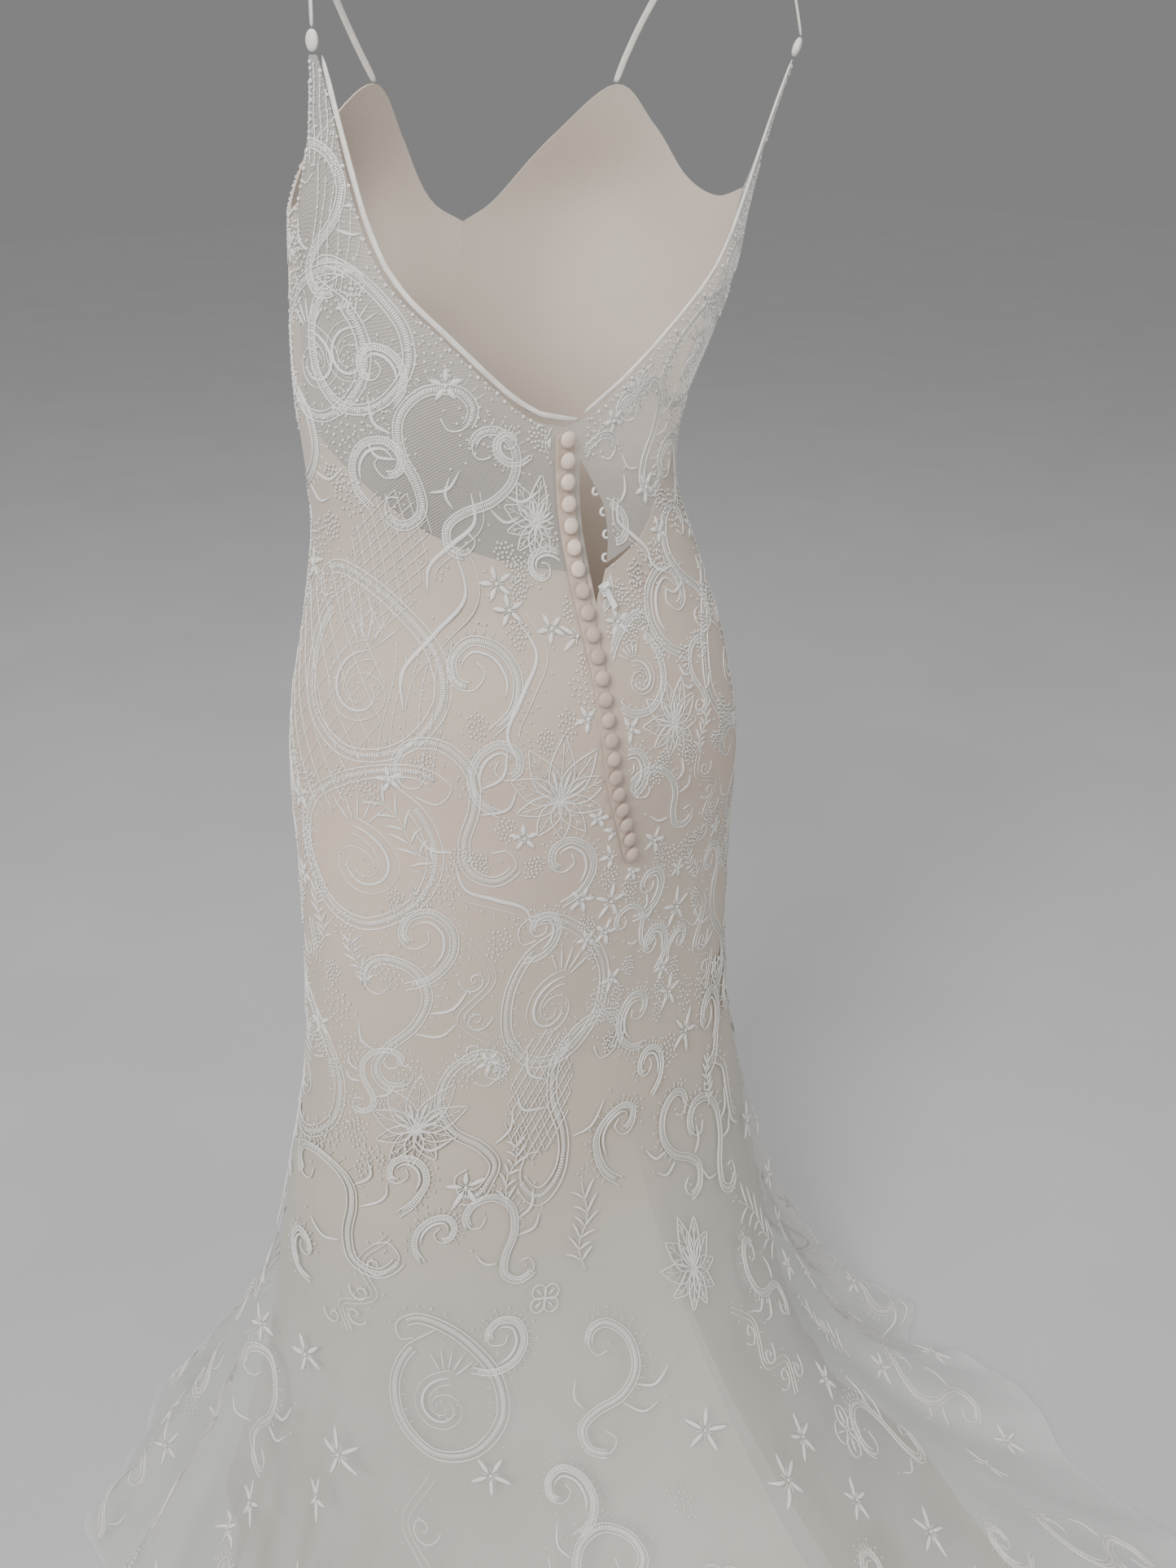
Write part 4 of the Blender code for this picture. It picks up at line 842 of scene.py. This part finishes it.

# %% [markdown]
# Where each motif goes. The main ones of the back are placed one by one, by angle and
# level, with their height in metres and their turn. Smaller ones are then dropped
# into the spaces by a seeded draw, dense on the body and sparse on the skirt.

# %% Layout
PLACED = (  # motif, angle, level, size, turn, mirrored
    ("lotus", 9.0, 1.05, 0.06, 12, 0), ("scroll", 24.0, 1.07, 0.078, 40, 0),
    ("scroll", 42.0, 1.1, 0.088, 15, 1), ("hook", 16.0, 1.098, 0.036, -50, 0),
    ("paisley", 60.0, 1.165, 0.088, 12, 0), ("hook", 52.0, 1.152, 0.05, -30, 1),
    ("scroll", 72.0, 1.245, 0.08, 4, 0), ("strings", 66.0, 1.235, 0.085, 6, 0),
    ("paisley", 78.0, 1.16, 0.092, -8, 1), ("stem", 34.0, 1.035, 0.075, 30, 0),
    ("hook", 55.0, 1.09, 0.06, 30, 0), ("star", 33.0, 1.142, 0.026, 0, 0),
    ("strings", 73.0, 1.3, 0.06, 3, 0), ("scroll", -13.0, 1.06, 0.07, -25, 1),
    ("scroll", -31.0, 1.092, 0.082, -12, 0), ("lotus", -22.0, 1.128, 0.044, -10, 0),
    ("stem", -22.0, 1.02, 0.062, -20, 1), ("paisley", -48.0, 1.14, 0.082, -14, 1),
    ("hook", -62.0, 1.2, 0.066, -20, 0), ("scroll", -70.0, 1.265, 0.08, -4, 1),
    ("hook", -50.0, 1.06, 0.07, -30, 1), ("strings", -66.0, 1.238, 0.06, -8, 0),
    ("hook", 8.0, 1.012, 0.046, -60, 1), ("strings", -72.0, 1.315, 0.04, 0, 0),
    ("trellis", 57.0, 1.025, 0.11, 18, 0), ("trellis", 80.0, 0.93, 0.2, 4, 0),
    ("paisley", 62.0, 0.945, 0.13, 8, 0), ("stem", 40.0, 0.975, 0.12, 22, 0),
    ("strings", 47.0, 0.925, 0.1, 10, 0), ("stem", 19.0, 0.93, 0.105, 8, 0),
    ("star", 3.6, 0.962, 0.034, 20, 0), ("hook", 30.0, 0.945, 0.085, -20, 1),
    ("lotus", 13.0, 0.855, 0.092, 10, 0), ("lotus", -20.0, 0.885, 0.072, -8, 0),
    ("star", -9.0, 0.965, 0.03, 0, 0), ("paisley", -11.0, 0.925, 0.07, -12, 1),
    ("hook", -30.0, 0.965, 0.09, 12, 0), ("scroll", -44.0, 0.985, 0.09, -10, 1),
    ("paisley", -58.0, 0.9, 0.13, -6, 1), ("hook", 27.0, 0.875, 0.07, 15, 0),
    ("scroll", 38.0, 0.85, 0.11, -12, 0), ("sprig", 50.0, 0.835, 0.08, -30, 0),
    ("paisley", 66.0, 0.815, 0.13, 6, 1), ("stem", 34.0, 0.77, 0.09, -38, 1),
    ("hook", 15.0, 0.785, 0.074, 5, 1), ("scroll", -14.0, 0.815, 0.08, -18, 0),
    ("star", -8.0, 0.775, 0.03, 30, 0), ("vine", -30.0, 0.8, 0.11, -10, 1),
    ("scroll", -50.0, 0.79, 0.11, 10, 0), ("star", 5.5, 0.735, 0.04, 14, 0),
    ("hook", -6.0, 0.728, 0.06, 30, 1), ("paisley", 20.0, 0.665, 0.125, 22, 0),
    ("scroll", -2.0, 0.7, 0.052, -30, 0), ("vine", 40.0, 0.68, 0.12, 6, 0),
    ("hook", 52.0, 0.745, 0.08, 12, 1), ("star", -16.0, 0.69, 0.044, 4, 0),
    ("hook", -17.0, 0.655, 0.04, 60, 0), ("lotus", 55.0, 0.59, 0.086, 4, 0),
    ("scroll", 42.0, 0.58, 0.11, -14, 1), ("trellis", 24.0, 0.585, 0.12, 10, 0),
    ("scroll", 17.0, 0.575, 0.13, 20, 1), ("hook", -2.0, 0.61, 0.07, -10, 0),
    ("star", -14.0, 0.61, 0.04, 10, 0), ("vine", -28.0, 0.64, 0.13, -14, 0),
    ("scroll", -42.0, 0.64, 0.12, -6, 1), ("scroll", 60.0, 0.68, 0.1, 12, 0),
    ("star", -20.0, 0.56, 0.046, 34, 0), ("hook", -33.0, 0.545, 0.085, 10, 1),
    ("hook", 4.0, 0.52, 0.08, 20, 0), ("sprig", 14.0, 0.48, 0.08, 10, 0),
    ("scroll", 33.0, 0.49, 0.08, -16, 0), ("star", 42.0, 0.52, 0.04, 0, 0),
    ("lotus", -4.0, 0.44, 0.085, 6, 0), ("scroll", -12.0, 0.49, 0.09, -10, 1),
    ("scroll", -24.0, 0.47, 0.1, 4, 0), ("stem", -36.0, 0.48, 0.1, -12, 0),
    ("quatrefoil", 24.0, 0.45, 0.034, 8, 0), ("hook", 33.0, 0.43, 0.07, 30, 1),
    ("paisley", 44.0, 0.395, 0.12, 6, 0), ("vine", 46.0, 0.28, 0.15, -4, 1),
    ("star", 34.0, 0.35, 0.04, 30, 0), ("scroll", 14.0, 0.4, 0.1, 28, 0),
    ("hook", 22.0, 0.345, 0.07, -20, 1), ("vine", -9.0, 0.37, 0.11, -6, 0),
    ("star", -1.0, 0.33, 0.05, 12, 0), ("scroll", -18.0, 0.38, 0.08, -20, 1),
    ("sprig", -30.0, 0.39, 0.11, -16, 0), ("quatrefoil", 8.0, 0.3, 0.044, 16, 0),
    ("lotus", 25.0, 0.25, 0.09, 10, 0), ("scroll", 20.0, 0.3, 0.1, 24, 1),
    ("hook", -3.0, 0.265, 0.07, 10, 0), ("quatrefoil", -12.0, 0.295, 0.05, 0, 0),
    ("scroll", -16.0, 0.26, 0.1, -14, 0), ("star", 7.0, 0.235, 0.05, 40, 0),
    ("sprig", -26.0, 0.28, 0.09, -8, 1), ("hook", 36.0, 0.2, 0.09, 10, 0))
FILLERS = (  # motif, size, spacing, tries, lowest level, highest level
    ("paisley", 0.12, 1.0, 500, 0.56, 1.17), ("scroll", 0.105, 0.92, 900, 0.5, 1.26),
    ("lotus", 0.08, 0.95, 400, 0.5, 1.1), ("vine", 0.11, 0.85, 500, 0.45, 1.22),
    ("hook", 0.062, 0.85, 1400, 0.45, 1.28), ("scroll", 0.06, 0.85, 1600, 0.52, 1.3),
    ("sprig", 0.052, 0.85, 1400, 0.5, 1.3), ("scroll", 0.105, 1.7, 500, 0.05, 0.5),
    ("lotus", 0.085, 1.8, 260, 0.05, 0.5), ("vine", 0.11, 1.7, 300, 0.05, 0.5),
    ("hook", 0.07, 1.6, 500, 0.04, 0.5), ("star", 0.042, 1.25, 800, 0.05, 0.72),
    ("stem", 0.045, 0.9, 1200, 0.6, 1.28), ("star", 0.026, 0.85, 1400, 0.55, 1.28),
    ("seeds", 0.036, 0.74, 3000, 0.55, 1.31), ("seeds", 0.024, 0.7, 3000, 0.6, 1.32),
    ("seeds", 0.034, 1.3, 500, 0.06, 0.55))


def laid(angle, level):
    """The face that the embroidery lies on: the body, then the loose net below the knee."""
    angle, level = np.broadcast_arrays(np.asarray(angle, float), np.asarray(level, float))
    near = ease((0.62 - level) / 0.10) * (NET_CLEAR + NET_WALL)
    body = lined(angle, np.maximum(level, KNEE_LEVEL))
    body = body + normal(lined, angle, np.maximum(level, KNEE_LEVEL)) * near[..., None]
    return np.where((level >= KNEE_LEVEL)[..., None], body, loose_net(angle, np.minimum(level, KNEE_LEVEL)))


GRID_ANGLE, GRID_LEVEL, GRID_TOP = 0.5, 0.004, 1.359
places = np.meshgrid(np.arange(721) * GRID_ANGLE - 180.0, np.arange(341) * GRID_LEVEL)
FACE = laid(*places)
FACE_OUT = np.cross(np.gradient(FACE, axis=0), np.gradient(FACE, axis=1))
FACE_OUT /= np.linalg.norm(FACE_OUT, axis=-1, keepdims=True)


def looked_up(table, angle, level):
    """A value between the four nearest places of a table, which is quicker than the form."""
    u = np.atleast_1d(signed(angle) + 180.0) / GRID_ANGLE
    v = np.atleast_1d(np.clip(level, 0.0, GRID_TOP)) / GRID_LEVEL
    i, j = v.astype(int), np.minimum(u.astype(int), 719)
    s, t = (v - i)[..., None], (u - j)[..., None]
    lower = table[i, j] * (1 - t) + table[i, j + 1] * t
    upper = table[i + 1, j] * (1 - t) + table[i + 1, j + 1] * t
    return lower * (1 - s) + upper * s


def metric(angle, level):
    """How far one degree and one metre of level go on the cloth."""
    side_step = looked_up(FACE, angle + 0.5, level) - looked_up(FACE, angle - 0.5, level)
    rise = looked_up(FACE, angle, level + 0.005) - looked_up(FACE, angle, max(level - 0.005, 0.0))
    return float(np.linalg.norm(side_step)), float(np.linalg.norm(rise)) / 0.010


random = np.random.default_rng(11)
REACH = 0.42  # of a motif's size: the radius that it keeps clear
layout = [(m, a, l, s, t, f, REACH * s) for m, a, l, s, t, f in PLACED]
centres = [looked_up(FACE, a, l)[0] for _, a, l, _, _, _, _ in layout]
radii = [row[6] for row in layout]
for motif, size, spacing, tries, lowest, highest in FILLERS:
    angles = random.uniform(-180, 180, tries)
    levels = random.uniform(lowest, highest, tries)
    tops = top_edge(angles)
    spots = looked_up(FACE, angles, levels)
    turns = random.uniform(-35, 35, tries)
    grown = size * random.uniform(0.85, 1.15, tries)
    for angle, level, top, spot, turn, big in zip(angles, levels, tops, spots, turns, grown):
        reach = REACH * big
        if level > top - 0.4 * big or level < 0.3 * big:
            continue
        gaps = np.linalg.norm(np.array(centres) - spot, axis=1) - spacing * (np.array(radii) + reach)
        if gaps.min() > 0.0:
            layout.append((motif, angle, level, big, turn, int(random.integers(2)), reach))
            centres.append(spot)
            radii.append(reach)
print("motifs", len(layout))

# %% [markdown]
# Every stroke is now carried over to the cloth. A motif's own square is turned and
# scaled to real lengths at its place, each point is looked up on the form, and the
# thread is given its width and crown there. Stitches that would run past an edge of
# the cloth, into the keyhole or under the buttons are left off.

# %% Thread on the cloth
STEP, BASE_LIFT, MARGIN = 0.0030, 0.00015, 0.0022
BUTTON_STRIP = 0.0056


def on_cloth(angle, level):
    """True where a stitch lies on cloth, clear of the edges and the closure."""
    across = np.radians(signed(angle)) * read(RINGS, 3, np.maximum(level, KNEE_LEVEL))
    key = read(KEYHOLE, 1, level) * (level > KEYHOLE[0, 0]) * (level < KEYHOLE[-1, 0])
    closed = (level > CLOSURE_END) & (across > -EDGE_SETBACK - key - MARGIN) & (across < BUTTON_STRIP)
    return (level < top_edge(angle) - MARGIN) & (level > 0.010) & ~closed


def resampled(line, step):
    gaps = np.linalg.norm(np.diff(line, axis=0), axis=1)
    lengths = np.concatenate(((0.0,), np.cumsum(gaps)))
    count = max(int(lengths[-1] / step) + 1, 3)
    at = np.linspace(0.0, lengths[-1], count)
    return np.stack((np.interp(at, lengths, line[:, 0]), np.interp(at, lengths, line[:, 1])), -1), at


def runs(mask):
    """The stretches where a mask is true, as slices of at least three places."""
    edges = np.flatnonzero(np.diff(np.concatenate(((0,), mask.astype(int), (0,)))))
    return [slice(a, b) for a, b in zip(edges[::2], edges[1::2]) if b - a >= 3]


strands = {"cord": [], "satin": [], "ladder": [], "dash": []}
knot_places = []
strand_step = {"cord": STEP, "satin": STEP, "ladder": STEP * 1.2, "dash": 0.02}
for motif, angle, level, size, turn, mirrored, _ in layout:
    per_degree, per_level = metric(angle, level)
    turned = math.radians(turn)
    spin = np.array(((math.cos(turned), -math.sin(turned)), (math.sin(turned), math.cos(turned))))
    for kind, line, width in DRAWN[motif]:
        line = (np.asarray(line) - (0.0, 0.5)) * size
        line = line * ((-1.0, 1.0) if mirrored else (1.0, 1.0)) @ spin.T
        if kind == "knot":
            places = np.stack((angle + line[:, 0] / per_degree, level + line[:, 1] / per_level), -1)
            places = places[on_cloth(places[:, 0], places[:, 1])]
            knot_places += [(a, l, width) for a, l in places]
            continue
        line, at = resampled(line, strand_step[kind])
        places = np.stack((angle + line[:, 0] / per_degree, level + line[:, 1] / per_level), -1)
        for run in runs(on_cloth(places[:, 0], places[:, 1])):
            strands[kind].append((places[run], at[run], width))
print({kind: len(rows) for kind, rows in strands.items()}, "knots", len(knot_places))

# %% [markdown]
# A strand is swept as a low crowned ribbon. Satin strands swell in the middle and
# taper to a point, as satin stitch does. All strands of a kind share one mesh, cut
# into the gown's regions so that no piece grows too heavy.

# %% Sweep the strands
PROFILES = {  # kind: (across, height) of the section, and the crown in metres
    "cord": (((-0.5, 0.0), (-0.25, 0.85), (0.25, 0.85), (0.5, 0.0)), 0.0009),
    "satin": (((-0.5, 0.0), (-0.25, 0.85), (0.25, 0.85), (0.5, 0.0)), 0.0012),
    "ladder": (((-0.5, 0.0), (-0.5, 1.0), (0.5, 1.0), (0.5, 0.0)), 0.00022),
    "dash": (((-0.5, 0.0), (0.0, 1.0), (0.5, 0.0)), 0.0006)}
REGIONS = (("bodice", 1.00, 2.0), ("hip", 0.74, 1.00), ("thigh", 0.50, 0.74), ("skirt", -1.0, 0.50))


def sweep(rows, kind):
    section, crown = PROFILES[kind]
    sides = len(section)
    flat = np.concatenate([places for places, _, _ in rows])
    middle, out = (looked_up(table, flat[:, 0], flat[:, 1]) for table in (FACE, FACE_OUT))
    points, uvs, faces, start, total = [], [], [], 0, 0
    for places, at, width in rows:
        count = len(places)
        line, up = middle[start:start + count], out[start:start + count]
        start += count
        along = np.gradient(line, axis=0)
        across = np.cross(up, along)
        across /= np.maximum(np.linalg.norm(across, axis=1, keepdims=True), 1e-9)
        share = np.linspace(0.0, 1.0, count)
        swell = np.full(count, 1.0)
        if kind == "satin":
            swell = 0.12 + 0.88 * np.sin(math.pi * share**0.85) ** 0.7
        swell = np.maximum(np.nan_to_num(swell), 0.12)
        for side, height in section:
            rise = BASE_LIFT + crown * height * np.sqrt(swell)
            points.append(line + across * (side * width * swell)[:, None] + up * rise[:, None])
            uvs.append(np.stack((at, np.full(count, (side + 0.5) * width)), -1))
        grid = total + np.arange(sides)[:, None] * count + np.arange(count)[None, :]
        after = np.roll(grid, -1, axis=0)
        quads = np.stack((grid[:, :-1], grid[:, 1:], after[:, 1:], after[:, :-1]), -1).reshape(-1, 4)
        faces += quads.tolist()
        faces += [grid[:, 0].tolist(), grid[::-1, -1].tolist()]
        total += sides * count
    return np.concatenate(points), faces, np.concatenate(uvs)


THREADS = {"cord": cord_thread, "satin": satin_thread, "ladder": ladder_thread, "dash": satin_thread}
for region, lowest, highest in REGIONS:
    for kind, rows in strands.items():
        for side, hand in ((1, "left"), (-1, "right")):
            mine = [row for row in rows
                    if lowest <= row[0][0, 1] < highest and side * signed(row[0][0, 0]) >= 0]
            if not mine:
                continue
            points, faces, uvs = sweep(mine, kind)
            piece = mesh_object(f"{kind}_{region}_{hand}", points, faces, uvs, THREADS[kind])
            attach(piece, "gown")
            print(piece.name, "faces", len(faces))

# %% [markdown]
# Knots are the small round stitches scattered between the motifs. There are thousands,
# so each is a low dome of a few faces, turned to the cloth it sits on.

# %% Knots
def dome_field(name, rows, finish):
    rows = np.asarray(rows, float)
    middle, out = (looked_up(table, rows[:, 0], rows[:, 1]) for table in (FACE, FACE_OUT))
    side = np.cross(out, (0.0, 0.0, 1.0))
    side /= np.maximum(np.linalg.norm(side, axis=1, keepdims=True), 1e-9)
    upward = np.cross(side, out)
    turns = np.arange(5) * math.tau / 5
    points = []
    for radius, height in ((1.0, 0.0), (0.85, 0.7)):
        for turn in turns:
            spread = side * (radius * math.cos(turn)) + upward * (radius * math.sin(turn))
            points.append(middle + spread * rows[:, 2:3] + out * (height * rows[:, 2:3] + BASE_LIFT))
    points.append(middle + out * (1.1 * rows[:, 2:3] + BASE_LIFT))
    points = np.stack(points, 1)
    step, after = np.arange(5), (np.arange(5) + 1) % 5
    base = np.arange(len(rows))[:, None, None] * 11
    quads = base + np.stack((step, after, after + 5, step + 5), -1)[None]
    caps = base + np.stack((step + 5, after + 5, np.full(5, 10)), -1)[None]
    floor = np.arange(len(rows))[:, None] * 11 + step[::-1][None]
    faces = quads.reshape(-1, 4).tolist() + caps.reshape(-1, 3).tolist() + floor.tolist()
    uvs = np.tile(np.stack((np.arange(11) * 0.0003, np.zeros(11)), -1), (len(rows), 1))
    return mesh_object(name, points.reshape(-1, 3), faces, uvs, finish)


for region, lowest, highest in REGIONS:
    mine = [row for row in knot_places if lowest <= row[1] < highest]
    piece = dome_field(f"knots_{region}", mine, satin_thread)
    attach(piece, "gown")
    print(piece.name, len(mine))

# %% [markdown]
# The V edge and the armholes are finished with small beads, one every few millimetres
# and no two quite alike, sewn just inside the edge.

# %% Beads along the edges
bead_rows = []
for side in (1, -1):
    for number, at in enumerate(np.linspace(7.0, 70.5, 62)):
        drop = 0.0026 + 0.0010 * math.sin(number * 1.9)
        bead_rows.append((side * at, float(top_edge(at)) - drop, 0.0011 + 0.0005 * math.sin(number * 2.7)))
    for number, share in enumerate(np.linspace(0.02, 0.98, 24)):
        at, high = np.interp(share, arm_share, arm_angle), np.interp(share, arm_share, arm_height)
        bead_rows.append((side * (at - 1.0), high - 0.003, 0.0012 + 0.0005 * math.sin(number * 2.3)))
    for number, at in enumerate(np.linspace(89.0, 179.5, 70)):
        bead_rows.append((side * at, float(top_edge(at)) - 0.003, 0.0012 + 0.0004 * math.sin(number * 3.1)))
piece = dome_field("edge_beads", bead_rows, satin_thread)
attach(piece, "gown")
print("edge beads", len(bead_rows))

# %% [markdown]
# The straps, their knots, the edging, the placket and the buttons are soft pieces.
# All but the buttons are made from their solids, divided finer and rounded, and each
# takes its solid's place.
# The upper seven buttons are smooth satin, and the net covers the lower ones.

# %% Soft trims
def rounded(name, finish):
    bpy.ops.object.select_all(action="DESELECT")
    piece = nodes[name].copy()
    piece.data = nodes[name].data.copy()
    piece.name = piece.data.name = f"{name}_soft"
    bpy.context.scene.collection.objects.link(piece)
    piece.data.materials.clear()
    piece.data.materials.append(finish)
    bpy.context.view_layer.objects.active = piece
    piece.select_set(True)
    bpy.ops.object.mode_set(mode="EDIT")
    bpy.ops.mesh.select_all(action="SELECT")
    bpy.ops.mesh.remove_doubles(threshold=0.00001)
    bpy.ops.mesh.normals_make_consistent(inside=False)
    bpy.ops.object.mode_set(mode="OBJECT")
    finer = piece.modifiers.new("finer", "SUBSURF")
    finer.levels = finer.render_levels = 1
    finer.subdivision_type = "CATMULL_CLARK"
    bpy.ops.object.modifier_apply(modifier=finer.name)
    piece.data.shade_smooth()
    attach(piece, "gown")
    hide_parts(name)


BUTTON_RADIUS, BUTTON_RISE, BUTTONS, SMOOTH_BUTTONS = 0.0060, 0.0052, 22, 7
for hand in ("left", "right"):
    for name in (f"strap_{hand}", f"neck_edge_{hand}", f"strap_knot_{hand}"):
        rounded(name, edge_satin)
rounded("button_placket", netted_satin)
for number in range(1, BUTTONS + 1):
    name = f"button_{number:02d}"
    low, high = (Vector(corner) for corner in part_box(name))
    middle = (low + high) / 2
    level = middle.z + SHOULDER_HEIGHT
    facing = Vector(normal(lined, np.array([0.0]), np.array([level]))[0])
    bpy.ops.object.select_all(action="DESELECT")
    bpy.ops.mesh.primitive_uv_sphere_add(segments=24, ring_count=12, radius=BUTTON_RADIUS, location=middle)
    piece = bpy.context.object
    piece.name = piece.data.name = f"{name}_covered"
    piece.scale = (1.0, 1.0, BUTTON_RISE / BUTTON_RADIUS / 2)
    piece.rotation_euler = facing.to_track_quat("Z", "Y").to_euler()
    bpy.ops.object.transform_apply(location=True, rotation=True, scale=True)
    piece.data.shade_smooth()
    piece.data.materials.append(blush_satin if number <= SMOOTH_BUTTONS else netted_satin)
    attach(piece, "gown")
    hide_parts(name)
for name in nodes:
    finish = white_cord if name.startswith("loop") else white_enamel if name.startswith("zip") else None
    if finish:
        nodes[name].data.materials.clear()
        nodes[name].data.materials.append(finish)
print("buttons", BUTTONS)

# %% [markdown]
# The camera stands where the photograph was taken from: behind the gown and to its
# left, a little above, looking down.

# %% Camera, floor and light
ROUND = math.radians(35.0)  # how far the camera stands to the gown's left of the centre back
TOWARDS = Vector((math.sin(ROUND), math.cos(ROUND), 0.0))
ASIDE = Vector((-math.cos(ROUND), math.sin(ROUND), 0.0))
CAMERA_PLACE = TOWARDS * 1.06 + ASIDE * 0.058 + Vector((0.028, 0.0, 1.331 - SHOULDER_HEIGHT))
LOOK_DOWN, ROLL, FOCAL, LONG_SIDE = 26.8, 0.5, 1750.0, 1927.0
camera = bpy.data.objects.new("camera", bpy.data.cameras.new("camera"))
bpy.context.scene.collection.objects.link(camera)
forward = -TOWARDS * math.cos(math.radians(LOOK_DOWN)) - Vector((0, 0, math.sin(math.radians(LOOK_DOWN))))
upward = ASIDE.cross(forward)
turned = Matrix((ASIDE, upward, -forward)).transposed().to_4x4()
camera.matrix_world = (Matrix.Translation(CAMERA_PLACE) @ turned
                       @ Matrix.Rotation(math.radians(ROLL), 4, "Z"))
camera.data.sensor_width = 36.0
camera.data.lens = 36.0 * FOCAL / LONG_SIDE
camera.data.clip_start, camera.data.clip_end = 0.02, 60.0
bpy.context.scene.camera = camera

bpy.ops.object.select_all(action="DESELECT")
bpy.ops.mesh.primitive_plane_add(size=24.0, location=(0.0, 0.0, -SHOULDER_HEIGHT - 0.0005))
floor = bpy.context.object
floor.name = "floor"
floor_finish, shader = new_finish("studio_floor", 0.85)
place = node(floor_finish, "ShaderNodeTexCoord")
grain = node(floor_finish, "ShaderNodeTexNoise", Vector=place.outputs["Object"], Scale=3.0)
link(floor_finish,
     ramp(floor_finish, grain.outputs[0], ((0.3, (0.38, 0.38, 0.38)), (0.7, (0.41, 0.41, 0.41)))),
     shader.inputs["Base Color"])
shader.inputs["Emission Color"].default_value = (1.0, 1.0, 1.0, 1.0)
shader.inputs["Emission Strength"].default_value = 0.13
floor.data.materials.append(floor_finish)
floor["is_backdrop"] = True


def soft_light(name, place, size, power, aim=(0.0, 0.0, -0.6)):
    light = bpy.data.objects.new(name, bpy.data.lights.new(name, "AREA"))
    bpy.context.scene.collection.objects.link(light)
    light.data.size, light.data.energy = size, power
    light.location = place
    light.rotation_euler = (Vector(aim) - Vector(place)).to_track_quat("-Z", "Y").to_euler()


soft_light("key", (2.4, 1.6, 1.6), 1.3, 150.0)
soft_light("fill", (-1.8, 2.6, 0.8), 2.2, 40.0)
soft_light("top", (0.2, -0.8, 2.6), 2.4, 60.0)
world = bpy.data.worlds.new("studio")
bpy.context.scene.world = world
world.use_nodes = True
world.node_tree.nodes["Background"].inputs["Color"].default_value = (0.60, 0.60, 0.60, 1.0)
world.node_tree.nodes["Background"].inputs["Strength"].default_value = 0.38
print("camera at", [round(v, 3) for v in camera.location])

# %% [markdown]
# The size of the visual model is worked out last.

# %% Size of the visual model
low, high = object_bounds()
